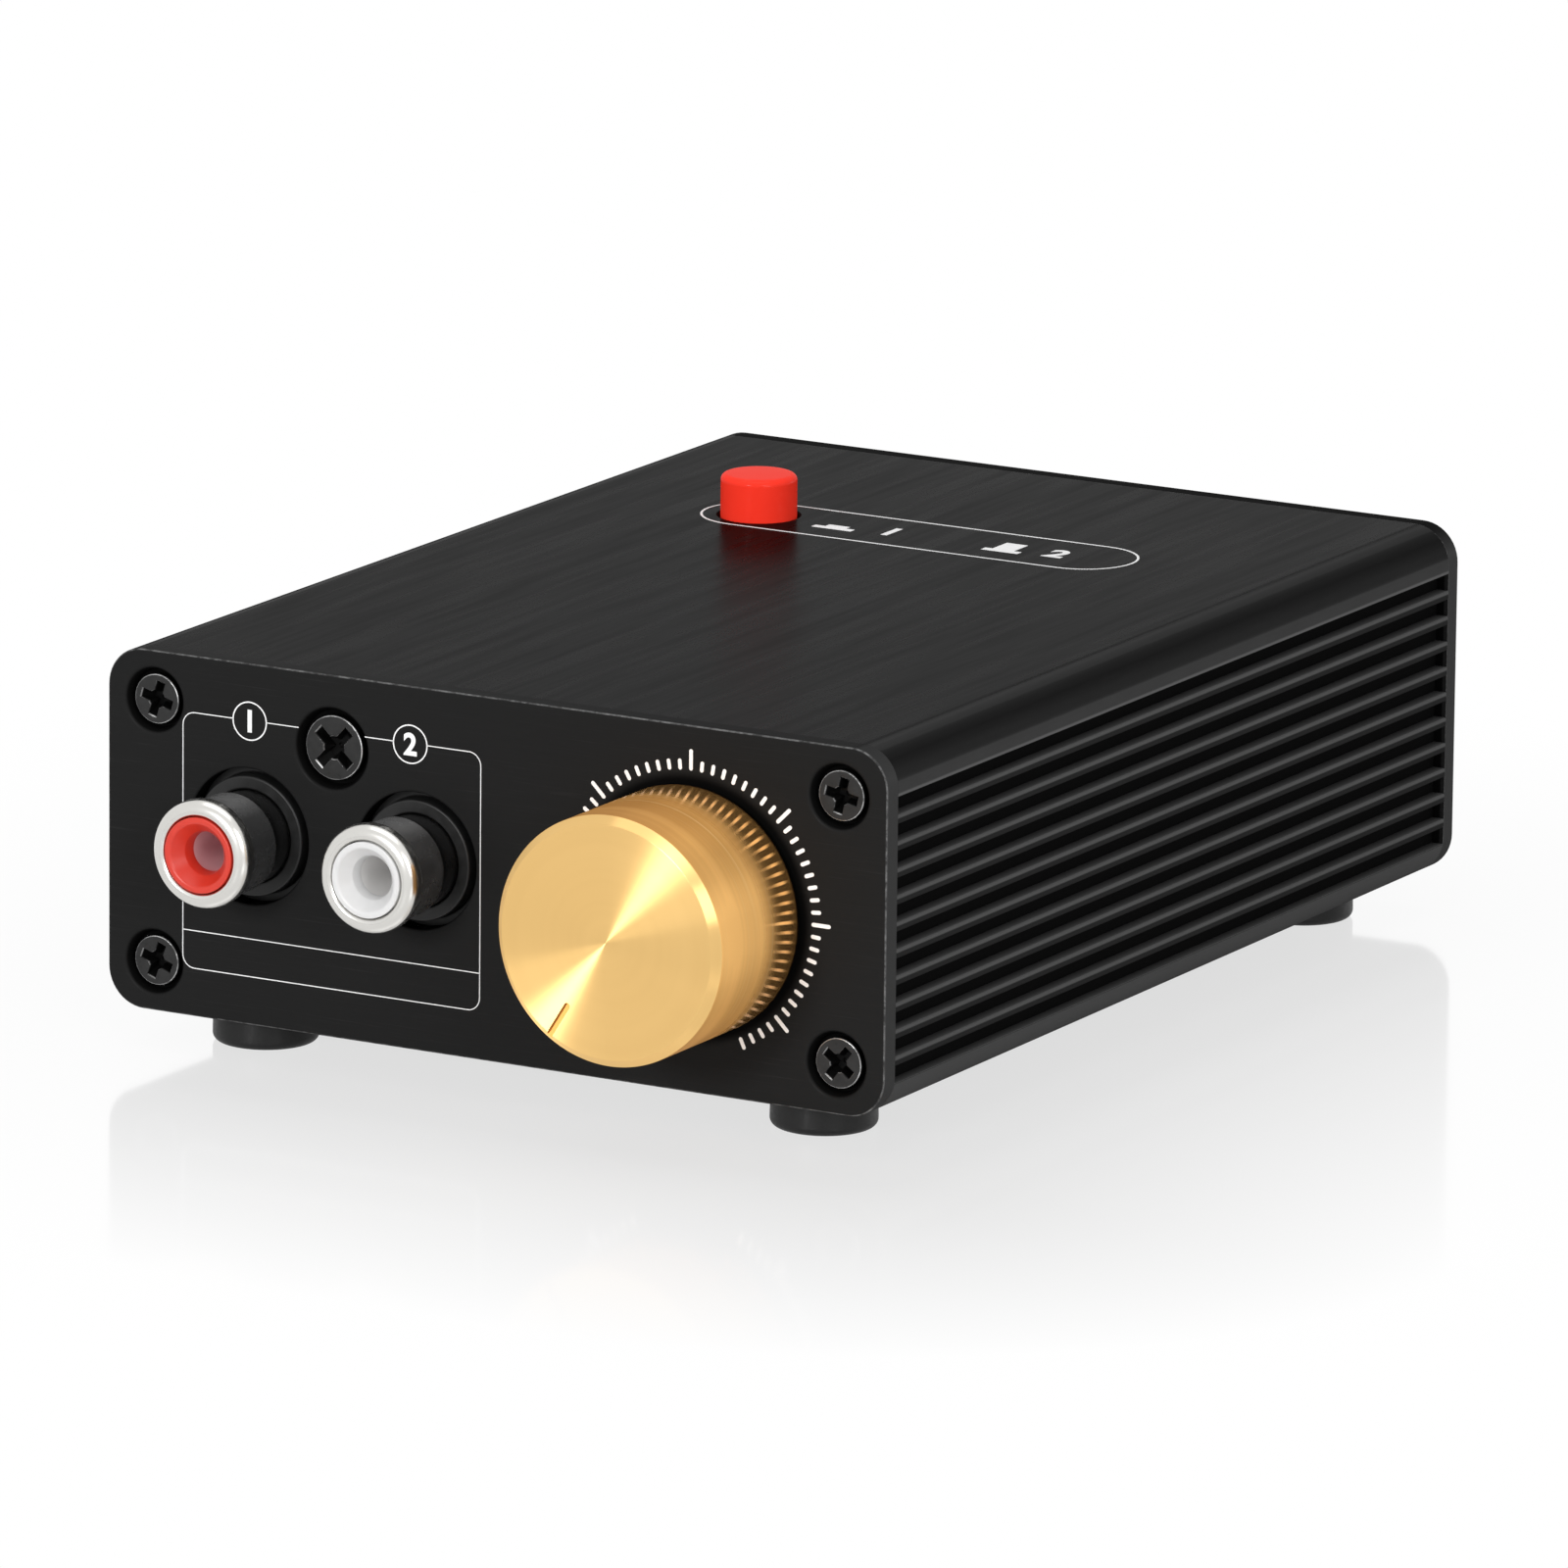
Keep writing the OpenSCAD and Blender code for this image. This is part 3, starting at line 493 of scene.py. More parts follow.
def buildPanelBlack():
    k, corner = named(panelFinish), panelPlate["cornerR"]
    finish, shader, place, grain, streak = newAnodise("brushedBlackPanel", k.stretch)
    facing, parts = facingOf(place), splitOf(place)
    turn = addMath("ABSOLUTE", facing["Y"])
    rearward = span(parts["Y"], 0.0, 1.0)
    face = multiply(multiply(streak, remap(grain["Streaks"], *k.scratches)), k.face)
    # painted shadow: a dark ring on the panel close to the knob
    apart = vectorOf(subtract(parts["X"], knobMiddle.x * mm), rearward, subtract(parts["Z"], knobMiddle.z * mm))
    face = multiply(face, span(lengthOf(apart), *k.ring, smooth=True))
    # painted shade: holes and screw recesses darken below the face
    inner = blend(span(depthOf(parts["Y"]), *k.deep), face, k.hole)
    # the outer edge of the plate
    flat = vectorOf(parts["X"], 0.0, subtract(parts["Z"], (bottomZ + caseH / 2) * mm))
    rim = outsideOf(flat, ((caseW / 2 - corner) * mm, 1.0, (caseH / 2 - corner) * mm))
    outer = span(rim, *(corner + d for d in k.rim))
    # painted light: the plate's sides and top are lighter than its face, and the front top lighter than the rear
    top = blend(rearward, k.top, k.rearTop)
    side = blend(remap(facing["Z"], *k.levels), k.side, top)
    edge = blend(remap(turn, *k.turns), side, face)
    # light edges, partly wear and partly a painted highlight
    worn = useGroup(edgeWearGlint, Vector=place, Turn=turn, Break=k.patches)["EdgeGlintWear"]
    tone = blend(outer, inner, blend(worn, edge, anodise["worn"]))
    # the level top of the front panel mirrors like the case
    level = multiply(subtract(1.0, rearward), remap(facing["Z"], *anodise["flatUp"]))
    shade(shader, Base_Color=greyFrom(tone), Roughness=spread(grain["Bands"], *k.rough),
          Metallic=blend(level, k.metal, 1.0), Normal=bumpFrom(grain["Streaks"], k.bump))
    return finish


# the knob's colours: lit and shaded side colours for painted light, a dark rim of painted shade, and light turning
# lines
knobFinish = dict(
    face=rgb(0.92, 0.60, 0.23), deepFace=rgb(0.89, 0.575, 0.218), faceRough=0.34, dish=0.045,
    side=rgb(1.0, 0.56, 0.185), deepSide=rgb(0.40, 0.175, 0.037), sideRough=0.3, sideMetal=0.36,
    band=rgb(1.0, 0.53, 0.165), bandRough=0.14, bandMetal=0.94, bandAt=(0.2, 3.6), rim=rgb(0.14, 0.06, 0.015),
    rimAt=(5.45, 5.7), pointer=rgb(0.52, 0.27, 0.07), line=rgb(1.0, 0.78, 0.42), lines=(0.57, 0.66, 0.0, 0.75),
    lineAt=(-2.0, 0.5, 0.1, 1.0), lineLeast=0.4, vary=0.16, right=(0.98, 0.14), marks=(5200.0, 5200.0, 1400.0),
    arcs=(0.0, 2400.0, 260.0), angleLength=0.0004, faces=(0.25, 0.6), floors=(0.85, 0.95),
)
# painted light: how light the side is, by how far it faces the right
sideLightStops = ((0.0, 0.2), (0.14, 0.2), (0.53, 0.34), (0.8, 0.56), (0.9, 0.74), (0.98, 1.0))


def buildKnobGold(centre, faceAt):
    k = named(knobFinish)
    finish, shader, place = newFinish("spunGold", Specular_IOR_Level=0.0, Anisotropic=1.0, Anisotropic_Rotation=0.25)
    spin = addNode("Tangent", {}, finish.node_tree, direction_type="RADIAL", axis="Y").outputs[0]
    # turning marks follow the radius on the face and the length on the side
    parts = splitOf(addVector("SUBTRACT", place, centre * mm))
    along = parts["Y"]
    radius = lengthOf(vectorOf(parts["X"], 0.0, parts["Z"]))
    angle = multiply(addMath("ARCTAN2", parts["X"], parts["Z"]), k.angleLength)
    turned = vectorOf(radius, along, angle)
    tone = remap(useGroup(brushGrain, Vector=turned, Stretch=k.marks)["Bands"], 0.25, 0.75)
    facing = facingOf(place)
    forward = multiply(facing["Y"], -1.0)
    flatFace = remap(forward, *k.faces)
    # painted light: the side is lighter to the right, between its lit and shaded colours, with light turning lines
    # that are stronger where it is painted lighter, most of them on its rear half
    rightward = addMath("ADD", multiply(facing["X"], k.right[0]), multiply(facing["Z"], k.right[1]))
    varied = remap(tone, 0.0, 1.0, -k.vary, k.vary)
    paintedSideLight = addMath("ADD", addStops(rightward, sideLightStops), varied, clamp=True)
    arcs = useGroup(brushGrain, Vector=turned, Stretch=k.arcs)["Streaks"]
    lines = multiply(remap(arcs, *k.lines), span(along, *k.lineAt))
    lines = multiply(lines, remap(paintedSideLight, 0.0, 1.0, k.lineLeast, 1.0))
    side = mix(lines, mix(paintedSideLight, k.deepSide, k.side), k.line)
    # it is polished in a band beside the panel, and ends in a dark rim of painted shade
    band = span(along, *k.bandAt, smooth=True)
    side = mix(span(along, *k.rimAt), mix(band, side, k.band), k.rim)
    colour = mix(flatFace, side, mix(tone, k.deepFace, k.face))
    # the floor of the pointer groove
    sunk = multiply(span(along, faceAt + 0.05, faceAt + 0.1), remap(forward, *k.floors))
    colour = mix(sunk, colour, k.pointer)
    rough = blend(flatFace, blend(band, k.sideRough, k.bandRough), k.faceRough)
    metal = blend(flatFace, blend(band, k.sideMetal, k.bandMetal), 1.0)
    # the bump makes the face a shallow dish
    shade(shader, Base_Color=colour, Roughness=rough, Metallic=metal, Tangent=spin,
          Normal=bumpFrom(radius, 1.0, k.dish))
    return finish


# a finish with a mottle of the given scale
def newMottled(name, scale, **values):
    finish, shader, place = newFinish(name, **values)
    return finish, shader, place, useGroup(fineMottle, Vector=place, Scale=scale)["Clouds"]


screwFinish = dict(
    face=0.03, vary=0.12, inside=0.003, insideAt=(0.1, 0.2), worn=0.8, wornAt=(0.14, 0.1), rough=(0.26, 0.36),
    clouds=1200.0, patches=900.0,
)


def buildScrewBlack():
    k, sink = named(screwFinish), panelPlate["headSink"]
    finish, shader, place, clouds = newMottled("oiledBlackScrew", k.clouds, Specular_IOR_Level=0.06)
    face = spread(clouds, k.face * (1 - k.vary), k.face * (1 + k.vary))
    depth = depthOf(splitOf(place)["Y"])
    # painted shade in the cross and along the head's side, below its top
    tone = blend(span(depth, *(sink + d for d in k.insideAt)), face, k.inside)
    # bare metal round the head and the mouth of the cross, but not within it, as wear and as painted glints
    turn = addMath("ABSOLUTE", facingOf(place)["Y"])
    worn = useGroup(edgeWearGlint, Vector=place, Turn=turn, Break=k.patches)["EdgeGlintWear"]
    worn = multiply(worn, span(depth, *(sink + d for d in k.wornAt)))
    shade(shader, Base_Color=greyFrom(blend(worn, tone, k.worn)), Metallic=worn,
          Roughness=spread(clouds, *k.rough))
    return finish


# glossy barrel, with its black neck beside the panel, made darker still as painted shade
barrelFinish = dict(vary=0.1, neck=0.004, neckAt=(2.12, 2.06), rough=(0.2, 0.32), bump=0.002, clouds=420.0)
# painted light: its tone by the upward share of the normal, from -1 (0) to 1 (1), lighter on top
barrelLightStops = ((0.2, 0.048), (0.4, 0.036), (0.6, 0.034), (0.85, 0.045), (0.92, 0.09), (0.97, 0.14))


def buildBarrelBlack():
    k = named(barrelFinish)
    finish, shader, place, clouds = newMottled("blackBarrel", k.clouds, Specular_IOR_Level=0.8)
    along = splitOf(place)["Y"]
    shell = addStops(remap(facingOf(place)["Z"], -1.0, 1.0), barrelLightStops)
    shell = multiply(shell, spread(clouds, 1 - k.vary, 1 + k.vary))
    outside = addMath("MAXIMUM", subtract(frontY * mm, along), subtract(along, rearY * mm))
    tone = blend(span(outside, *k.neckAt), shell, k.neck)
    shade(shader, Base_Color=greyFrom(tone), Roughness=spread(clouds, *k.rough), Normal=bumpFrom(clouds, k.bump))
    return finish


contactFinish = dict(
    plate=rgb(0.95, 0.94, 0.93), redGlow=rgb(0.86, 0.55, 0.58), redAt=(13.0, 14.0), rough=(0.3, 0.4), bump=0.03,
    clouds=600.0,
)


# light contacts; those within the red insulators, which lie further from the middle, carry a painted pink tint of the
# red light bounced from them
def buildContactPlate():
    k = named(contactFinish)
    finish, shader, place, clouds = newMottled("contactPlate", k.clouds, Specular_IOR_Level=0.4)
    across = addMath("ABSOLUTE", splitOf(place)["X"])
    shade(shader, Base_Color=mix(span(across, *k.redAt), k.plate, k.redGlow),
          Roughness=spread(clouds, *k.rough), Normal=bumpFrom(clouds, k.bump))
    return finish


def buildPlain(name, light, dark, rough, scale, bump=0.05, **values):
    finish, shader, place, clouds = newMottled(name, scale, **values)
    shade(shader, Base_Color=mix(spread(clouds), dark, light), Roughness=spread(clouds, *rough),
          Normal=bumpFrom(clouds, bump))
    return finish


barrelBlack = buildBarrelBlack()
printWhite = buildPlain("printWhite", grey(0.92), grey(0.86), (0.5, 0.62), 3000.0)
# the finish of each material slot: a plain one has a light and a dark colour, its roughness and its mottle's scale
finishes = {
    "case_black": buildCaseBlack(),
    "panel_black": buildPanelBlack(),
    "knob_gold": buildKnobGold(knobMiddle, boxOf("volume_knob")[0].y - knobMiddle.y),
    "screw_black": buildScrewBlack(),
    "contact_gold": buildContactPlate(),
    "nickel_plate": buildPlain(
        "satinNickel", rgb(0.70, 0.69, 0.66), rgb(0.68, 0.67, 0.64), (0.21, 0.25), 300.0, bump=0.004, Metallic=1.0),
    "moulded_black": buildPlain(
        "mouldedBlack", grey(0.013), grey(0.009), (0.34, 0.5), 1500.0, Specular_IOR_Level=0.3),
    "foot_rubber": buildPlain(
        "footRubber", grey(0.011), grey(0.007), (0.4, 0.55), 3000.0, bump=0.2, Specular_IOR_Level=0.25),
    "insulator_red": buildPlain(
        "redInsulator", rgb(0.60, 0.033, 0.016), rgb(0.56, 0.028, 0.013), (0.3, 0.4), 400.0, bump=0.02),
    "insulator_white": buildPlain("whiteInsulator", grey(0.66), grey(0.63), (0.3, 0.4), 400.0, bump=0.02),
    "button_red": buildPlain(
        "redButton", rgb(1.0, 0.043, 0.022), rgb(0.98, 0.038, 0.019), (0.28, 0.36), 400.0, bump=0.02,
        Specular_IOR_Level=0.0, Coat_Weight=0.16, Coat_Roughness=0.1),
    "plain_steel": buildPlain("plainSteel", grey(0.6), grey(0.48), (0.28, 0.42), 1200.0, Metallic=1.0),
    "brown_phenolic": buildPlain(
        "brownPhenolic", rgb(0.13, 0.07, 0.035), rgb(0.08, 0.045, 0.02), (0.5, 0.65), 1500.0),
    "board_green": buildPlain("boardGreen", rgb(0.025, 0.15, 0.06), rgb(0.015, 0.10, 0.04), (0.3, 0.45), 350.0),
    "plunger_white": buildPlain("plungerWhite", rgb(0.78, 0.78, 0.75), rgb(0.70, 0.70, 0.67), (0.35, 0.5), 800.0),
    "sleeve_blue": buildPlain("sleeveBlue", rgb(0.03, 0.045, 0.1), rgb(0.018, 0.026, 0.06), (0.25, 0.4), 600.0),
    "film_red": buildPlain("filmRed", rgb(0.48, 0.05, 0.035), rgb(0.38, 0.035, 0.025), (0.25, 0.4), 700.0),
    "chip_black": buildPlain("chipBlack", grey(0.018), grey(0.012), (0.45, 0.6), 4000.0, bump=0.15),
    "resistor_blue": buildPlain("resistorBlue", rgb(0.17, 0.36, 0.56), rgb(0.12, 0.28, 0.46), (0.3, 0.45), 900.0),
}
for subpart in frame["record"]["subparts"]:
    for holder in nodes[subpart["node"]].material_slots:
        holder.material = finishes[subpart["material_slot"]]
print("finishes built:", len(finishes))


caseTube = dict(holeEdge=0.12, holeReach=4.0)


def buildCase():
    hole = middleOf("button_cap")

    def onHole(p):
        return p.z > topZ - 0.05 and hypot(p.x - hole.x, p.y - hole.y) < caseTube["holeReach"]

    addCopy("caseTube", "case_extrusion", "case_black", caseTube["holeEdge"], test=onHole, steps=3)


buildCase()
print("case dressed")


# places on a panel, in its local frame
phonoX = panelPlate["phonoInset"] - caseW / 2
phonoZ = middleOf("front_insulator_red").z - bottomZ
phonoSpots = [(phonoX + side * panelPlate["phonoPitch"] / 2, phonoZ) for side in (-1, 1)]
fixingZ = caseH - panelPlate["fixingInset"]
screwX, screwZ = caseW / 2 - panelPlate["screwInsetX"], panelPlate["screwInsetZ"]
screwSpots = [(x, z) for x in (-screwX, screwX) for z in (screwZ, caseH - screwZ)]
dialX, dialZ = knobMiddle.x, knobMiddle.z - bottomZ
(jackX, jackZ), (inletX, inletZ) = ((-p.x, p.z - bottomZ) for p in map(middleOf, ("jack_nut", "power_pin")))


def ringAt(x, z, r, steps):
    return [(x + r * sin(a), z + r * cos(a)) for a in circleAngles(steps)]


def outlineRing(inset, steps=12):
    corner = panelPlate["cornerR"]
    r = corner - inset
    out = []
    for k, (sx, sz) in enumerate(((1, 1), (-1, 1), (-1, -1), (1, -1))):
        x, z = sx * (caseW / 2 - corner), caseH / 2 + sz * (caseH / 2 - corner)
        angles = [pi / 2 * (k + i / steps) for i in range(steps + 1)]
        out += [(x + r * cos(a), z + r * sin(a)) for a in angles]
    return out


# rows of (inset or added radius, depth) from the outer face of the panel to its back
def roundedRim(edge, back):
    arc = [(edge * (1 - sin(k * pi / 10)), edge * (1 - cos(k * pi / 10))) for k in range(6)]
    wall = [(0.0, edge + 0.05), (0.0, panelT - back - 0.05), (0.0, panelT - back)]
    return [(edge + 0.08, 0.0)] + arc + wall + [(back, panelT), (back + 0.08, panelT)]


def dishedRim(r, hole):
    depth = panelPlate["headDepth"]
    slope = [(0.46, 0.0), (0.38, 0.0), (0.28, 0.015), (0.18, 0.06), (0.09, 0.15), (0.0, 0.32), (-0.06, 0.55),
             (-0.1, depth - 0.15), (-0.14, depth - 0.04), (-0.22, depth)]
    wall = [(0.05, depth), (0.0, depth + 0.05), (0.0, panelT - 0.05), (0.0, panelT), (0.1, panelT)]
    return [(r + a, d) for a, d in slope] + [(hole + a, d) for a, d in wall]


def buildPanel(name, node, holes, where):
    k = named(panelPlate)
    rims = [[(outlineRing(a), d) for a, d in roundedRim(k.edge, k.backEdge)]]
    for x, z in screwSpots:
        rims.append([(ringAt(x, z, r, 64), d) for r, d in dishedRim(k.screwDish, k.screwHole)])
    rims.append([(ringAt(phonoX, fixingZ, r, 72), d) for r, d in dishedRim(k.fixingDish, k.fixingHole)])
    for x, z, r in holes + [(x, z, k.phonoR) for x, z in phonoSpots]:
        rims.append([(ringAt(x, z, r + a, 96), d) for a, d in roundedRim(k.holeEdge, k.holeBack)])
    bm = bmesh.new()
    for rows in rims:
        loops = [[bm.verts.new((x, d, z)) for x, z in ring] for ring, d in rows]
        for a, b in zip(loops, loops[1:]):
            for i in range(len(a)):
                j = (i + 1) % len(a)
                bm.faces.new((a[i], a[j], b[j], b[i]))
    for depth in (0.0, panelT):
        rim = [e for e in bm.edges if e.is_boundary and all(abs(v.co.y - depth) < 1e-4 for v in e.verts)]
        bmesh.ops.triangle_fill(bm, use_beauty=True, use_dissolve=False, edges=rim)
    bm.transform(Matrix.Scale(mm, 4) @ where)
    mesh = bpy.data.meshes.new(name)
    bm.to_mesh(mesh)
    bm.free()
    seat(addPiece(name, mesh, finishes["panel_black"]), "panel_black", node)


buildPanel("frontPlate", "front_panel", [(dialX, dialZ, panelPlate["dialR"])], frontFrame)
buildPanel("rearPlate", "rear_panel", [(jackX, jackZ, panelPlate["jackR"]), (inletX, inletZ, panelPlate["inletR"])],
           rearFrame)
print("panels built")


cornerScrew = dict(headR=1.88, threadR=1.2, length=8.0, crossW=0.78, crossReach=1.4, bitR=0.7, turns=(20, 16, 36, 12))
fixingScrew = dict(headR=2.42, threadR=1.3, length=7.0, crossW=0.86, crossReach=1.92, bitR=0.88, turns=(43,))
# the cross recess: its arms as rows of (depth, share of the width, share of the reach), and its bevel
cross = dict(
    arm=((-0.3, 1.06, 1.04), (0.0, 1.0, 1.0), (0.55, 0.86, 0.8), (1.1, 0.7, 0.5)), bit=1.2, edge=0.06, sharp=40,
    smooth=32,
)


def crossArm(width, reach, turn):
    verts = []
    for y, w, l in cross["arm"]:
        verts += [(sx * width / 2 * w, panelPlate["headSink"] + y, sz * reach * l)
                  for sx, sz in ((-1, -1), (1, -1), (1, 1), (-1, 1))]
    faces = [(0, 1, 2, 3), (12, 13, 14, 15)]
    for base in (0, 4, 8):
        faces += [(base + i, base + (i + 1) % 4, base + 4 + (i + 1) % 4, base + 4 + i) for i in range(4)]
    return moved((verts, faces), Matrix.Rotation(radians(turn), 4, "Y"))


def screwMesh(name, k, turn, where):
    top, h = panelPlate["headSink"], panelPlate["headDepth"]
    r, tip, foot, bit = k.headR, h + k.length, top + cross["bit"], k.bitR
    head = softCorners([(0, top), (r * 0.7, top + 0.005), (r, top + 0.04, 0.1), (r, h, 0.06), (k.threadR, h),
                        (k.threadR, tip - 0.8), (0.3, tip), (0, tip)], closed=False, hold=0.03)
    # the point of the driver bit rounds the inner corners of the cross
    point = [(0, top - 0.3), (bit * 1.15, top - 0.3), (bit, top + 0.1), (bit * 0.7, top + 0.7),
             (0.12, foot), (0, foot)]
    shapes = [lathe(head, 72)] + [crossArm(k.crossW, k.crossReach, turn + a) for a in (0, 90)] + [lathe(point, 40)]
    screw, *cutters = [addMesh(name, moved(shape, where), finishes["screw_black"]) for shape in shapes]
    cutAway(screw, cutters)
    # a fine bevel round the mouth of the cross
    middle = where @ Vector((0, top, 0))
    bm = bmesh.new()
    bm.from_mesh(screw.data)
    bmesh.ops.remove_doubles(bm, verts=bm.verts, dist=1e-7)
    mouth = []
    for e in bm.edges:
        spots = [v.co / mm - middle for v in e.verts]
        near = all(abs(p.y) < 0.012 and hypot(p.x, p.z) < k.crossReach + 0.15 for p in spots)
        if near and len(e.link_faces) == 2 and e.calc_face_angle(0) > radians(cross["sharp"]):
            mouth.append(e)
    bevelEdges(bm, mouth, cross["edge"], 2)
    bm.to_mesh(screw.data)
    bm.free()
    return screw


def joinPieces(name, pieces, finish):
    bm = bmesh.new()
    for p in pieces:
        bm.from_mesh(p.data)
        bpy.data.objects.remove(p)
    mesh = bpy.data.meshes.new(name)
    bm.to_mesh(mesh)
    bm.free()
    return addPiece(name, mesh, finish, cross["smooth"])


def buildScrews(prefix, panelFrame):
    rows = (("CornerScrews", cornerScrew, screwSpots, "_panel_screws"),
            ("FixingScrew", fixingScrew, [(phonoX, fixingZ)], "_fixing_screw"))
    for name, kind, spots, node in rows:
        screws = [screwMesh(prefix + "Screw", named(kind), turn, panelFrame @ shift(x, 0, z))
                  for (x, z), turn in zip(spots, kind["turns"])]
        seat(joinPieces(prefix + name, screws, finishes["screw_black"]), "screw_black", prefix + node)


buildScrews("front", frontFrame)
buildScrews("rear", rearFrame)
print("screws built")


phono = dict(
    reach=7.1, lipR=4.1, lipBack=-5.25, barrelR=3.75, innerR=2.92, neckR=3.5, neckAt=-2.1, insulatorR=2.86,
    dishR=2.42, throatR=1.68, throatAt=-6.1, boreR=1.52, boreAt=-5.6, seatR=2.15, seatAt=-5.15, back=5.6,
    housingEdge=0.16, contactEdge=0.08, steps=128,
)


def buildSockets(prefix, panelFrame):
    k = named(phono)
    front = -k.reach
    lip = softCorners([(k.innerR, front, 0.34), (k.lipR, front, 0.82), (k.lipR, k.lipBack, 0.7),
                       (k.innerR, k.lipBack)], steps=9, hold=0.012)
    barrel = softCorners([(k.innerR, k.lipBack), (k.barrelR, k.lipBack), (k.barrelR, k.neckAt, 0.12),
                          (k.neckR, k.neckAt), (k.neckR, k.back), (k.innerR, k.back)])
    core = softCorners([(k.dishR, front, 0.3), (k.insulatorR, front, 0.1), (k.insulatorR, k.back), (k.seatR, k.back),
                        (k.seatR, k.seatAt), (k.boreR, k.seatAt), (k.boreR, k.boreAt), (k.throatR, k.throatAt, 0.2)],
                       steps=6, hold=0.03)
    spots = [panelFrame @ shift(x, 0, z) for x, z in phonoSpots]
    rows = (("Lips", lip, finishes["nickel_plate"], "nickel_plate"),
            ("Barrels", barrel, barrelBlack, "moulded_black"))
    for name, profile, finish, slotName in rows:
        shape = lathe(profile, k.steps, closed=True)
        piece = addMesh(prefix + "Phono" + name, gather([moved(shape, spot) for spot in spots]), finish)
        seat(piece, slotName, prefix + "_phono_shells")
    for spot, colour in zip(spots, ("red", "white")):
        addTurned(prefix + colour.title() + "Insulator", core, k.steps, spot, "insulator_" + colour,
                  prefix + "_insulator_" + colour, closed=True)
    addCopy(prefix + "Housing", prefix + "_phono_housing", "moulded_black", k.housingEdge, steps=3)
    addCopy(prefix + "Contacts", prefix + "_phono_contacts", "contact_gold", k.contactEdge)


buildSockets("front", frontFrame)
buildSockets("rear", rearFrame)
print("sockets built")


knob = dict(
    r=9.3, face=-12.1, back=-0.3, chamfer=0.6, backChamfer=0.2, hollowR=6.4, hollowAt=-4.1, boreR=3.05,
    boreAt=-10.6, faceRing=4.0, pointer=-148, pointerFrom=5.8, pointerW=0.5, pointerDepth=0.3, grubR=1.55,
    grubAt=-7.9, grubFrom=2.0, grubTo=12.0, steps=288, smooth=30,
)


def prism(outline, low, high):
    n = len(outline)
    verts = [(x, y, z) for y in (low, high) for x, z in outline]
    return verts, [list(range(n)), list(range(n, 2 * n))] + prismSides(n)


def prismSides(n):
    return [(i, (i + 1) % n, n + (i + 1) % n, n + i) for i in range(n)]


def buildKnob():
    k, gold = named(knob), finishes["knob_gold"]
    turned = shift(knobMiddle.x, frontY, knobMiddle.z) @ Matrix.Rotation(radians(k.pointer), 4, "Y")
    profile = softCorners([(0, k.face), (k.r - k.chamfer, k.face, 0.08), (k.r, k.face + k.chamfer, 0.12),
                           (k.r, k.back - k.backChamfer, 0.08), (k.r - k.backChamfer, k.back, 0.06),
                           (k.hollowR, k.back), (k.hollowR, k.hollowAt), (k.boreR, k.hollowAt), (k.boreR, k.boreAt),
                           (0, k.boreAt)], closed=False, steps=3, hold=0.05)
    profile.insert(1, Vector((k.faceRing, k.face)))
    piece = addMesh("goldKnob", moved(lathe(profile, k.steps), turned), gold, smooth=k.smooth)
    # pointer groove with a round inner end, and the grub screw hole
    half = k.pointerW / 2
    groove = [(-half, k.r + 1), (half, k.r + 1)]
    groove += [(half * cos(a), k.pointerFrom + half * (1 - sin(a))) for a in [pi * i / 10 for i in range(11)]]
    groove = prism(groove, k.face - 1, k.face + k.pointerDepth)
    hole = lathe([(0, k.grubFrom), (k.grubR, k.grubFrom), (k.grubR, k.grubTo), (0, k.grubTo)], 48)
    upright = turned @ (shift(0, k.grubAt, 0) @ Matrix.Rotation(pi / 2, 4, "X"))
    cutAway(piece, [addMesh("knobCut", moved(groove, turned), gold), addMesh("knobCut", moved(hole, upright), gold)])
    piece.data.set_sharp_from_angle(angle=radians(k.smooth))
    seat(piece, "knob_gold", "volume_knob", body="volume_control")


buildKnob()
print("knob built")


button = dict(r=2.95, round=0.5, dome=0.06, socketR=2.2, socketDepth=5.05)
foot = dict(r=4.0, round=0.6, draft=0.06)
spring = dict(turns=6.5, wire=0.3, d=2.6, press=2.2, steps=28, around=8)


# an upright lathe frame on the lowest point of a node, and the node's height
def uprightOn(node):
    low, high = boxOf(node)
    middle = (low + high) / 2
    return shift(middle.x, middle.y, low.z) @ Matrix.Rotation(pi / 2, 4, "X"), high.z - low.z


def buildButton():
    k = named(button)
    where, t = uprightOn("button_cap")
    profile = softCorners([(0, t), (k.r * 0.7, t - k.dome * 0.4), (k.r, t - k.dome, k.round), (k.r, 0, 0.1),
                           (k.socketR, 0), (k.socketR, k.socketDepth), (0, k.socketDepth)],
                          closed=False, steps=7, hold=0.08)
    addTurned("buttonCap", profile, 112, where, "button_red", "button_cap", body="select_button")


def buildFoot(node):
    k = named(foot)
    where, h = uprightOn(node)
    profile = softCorners([(0, 0), (k.r, 0, k.round), (k.r - k.draft, h, 0.12), (0, h)],
                          closed=False, steps=8, hold=0.08)
    name = node.title().replace("_", "").replace("Foot", "foot")
    addTurned(name, profile, 96, where, "foot_rubber", node)


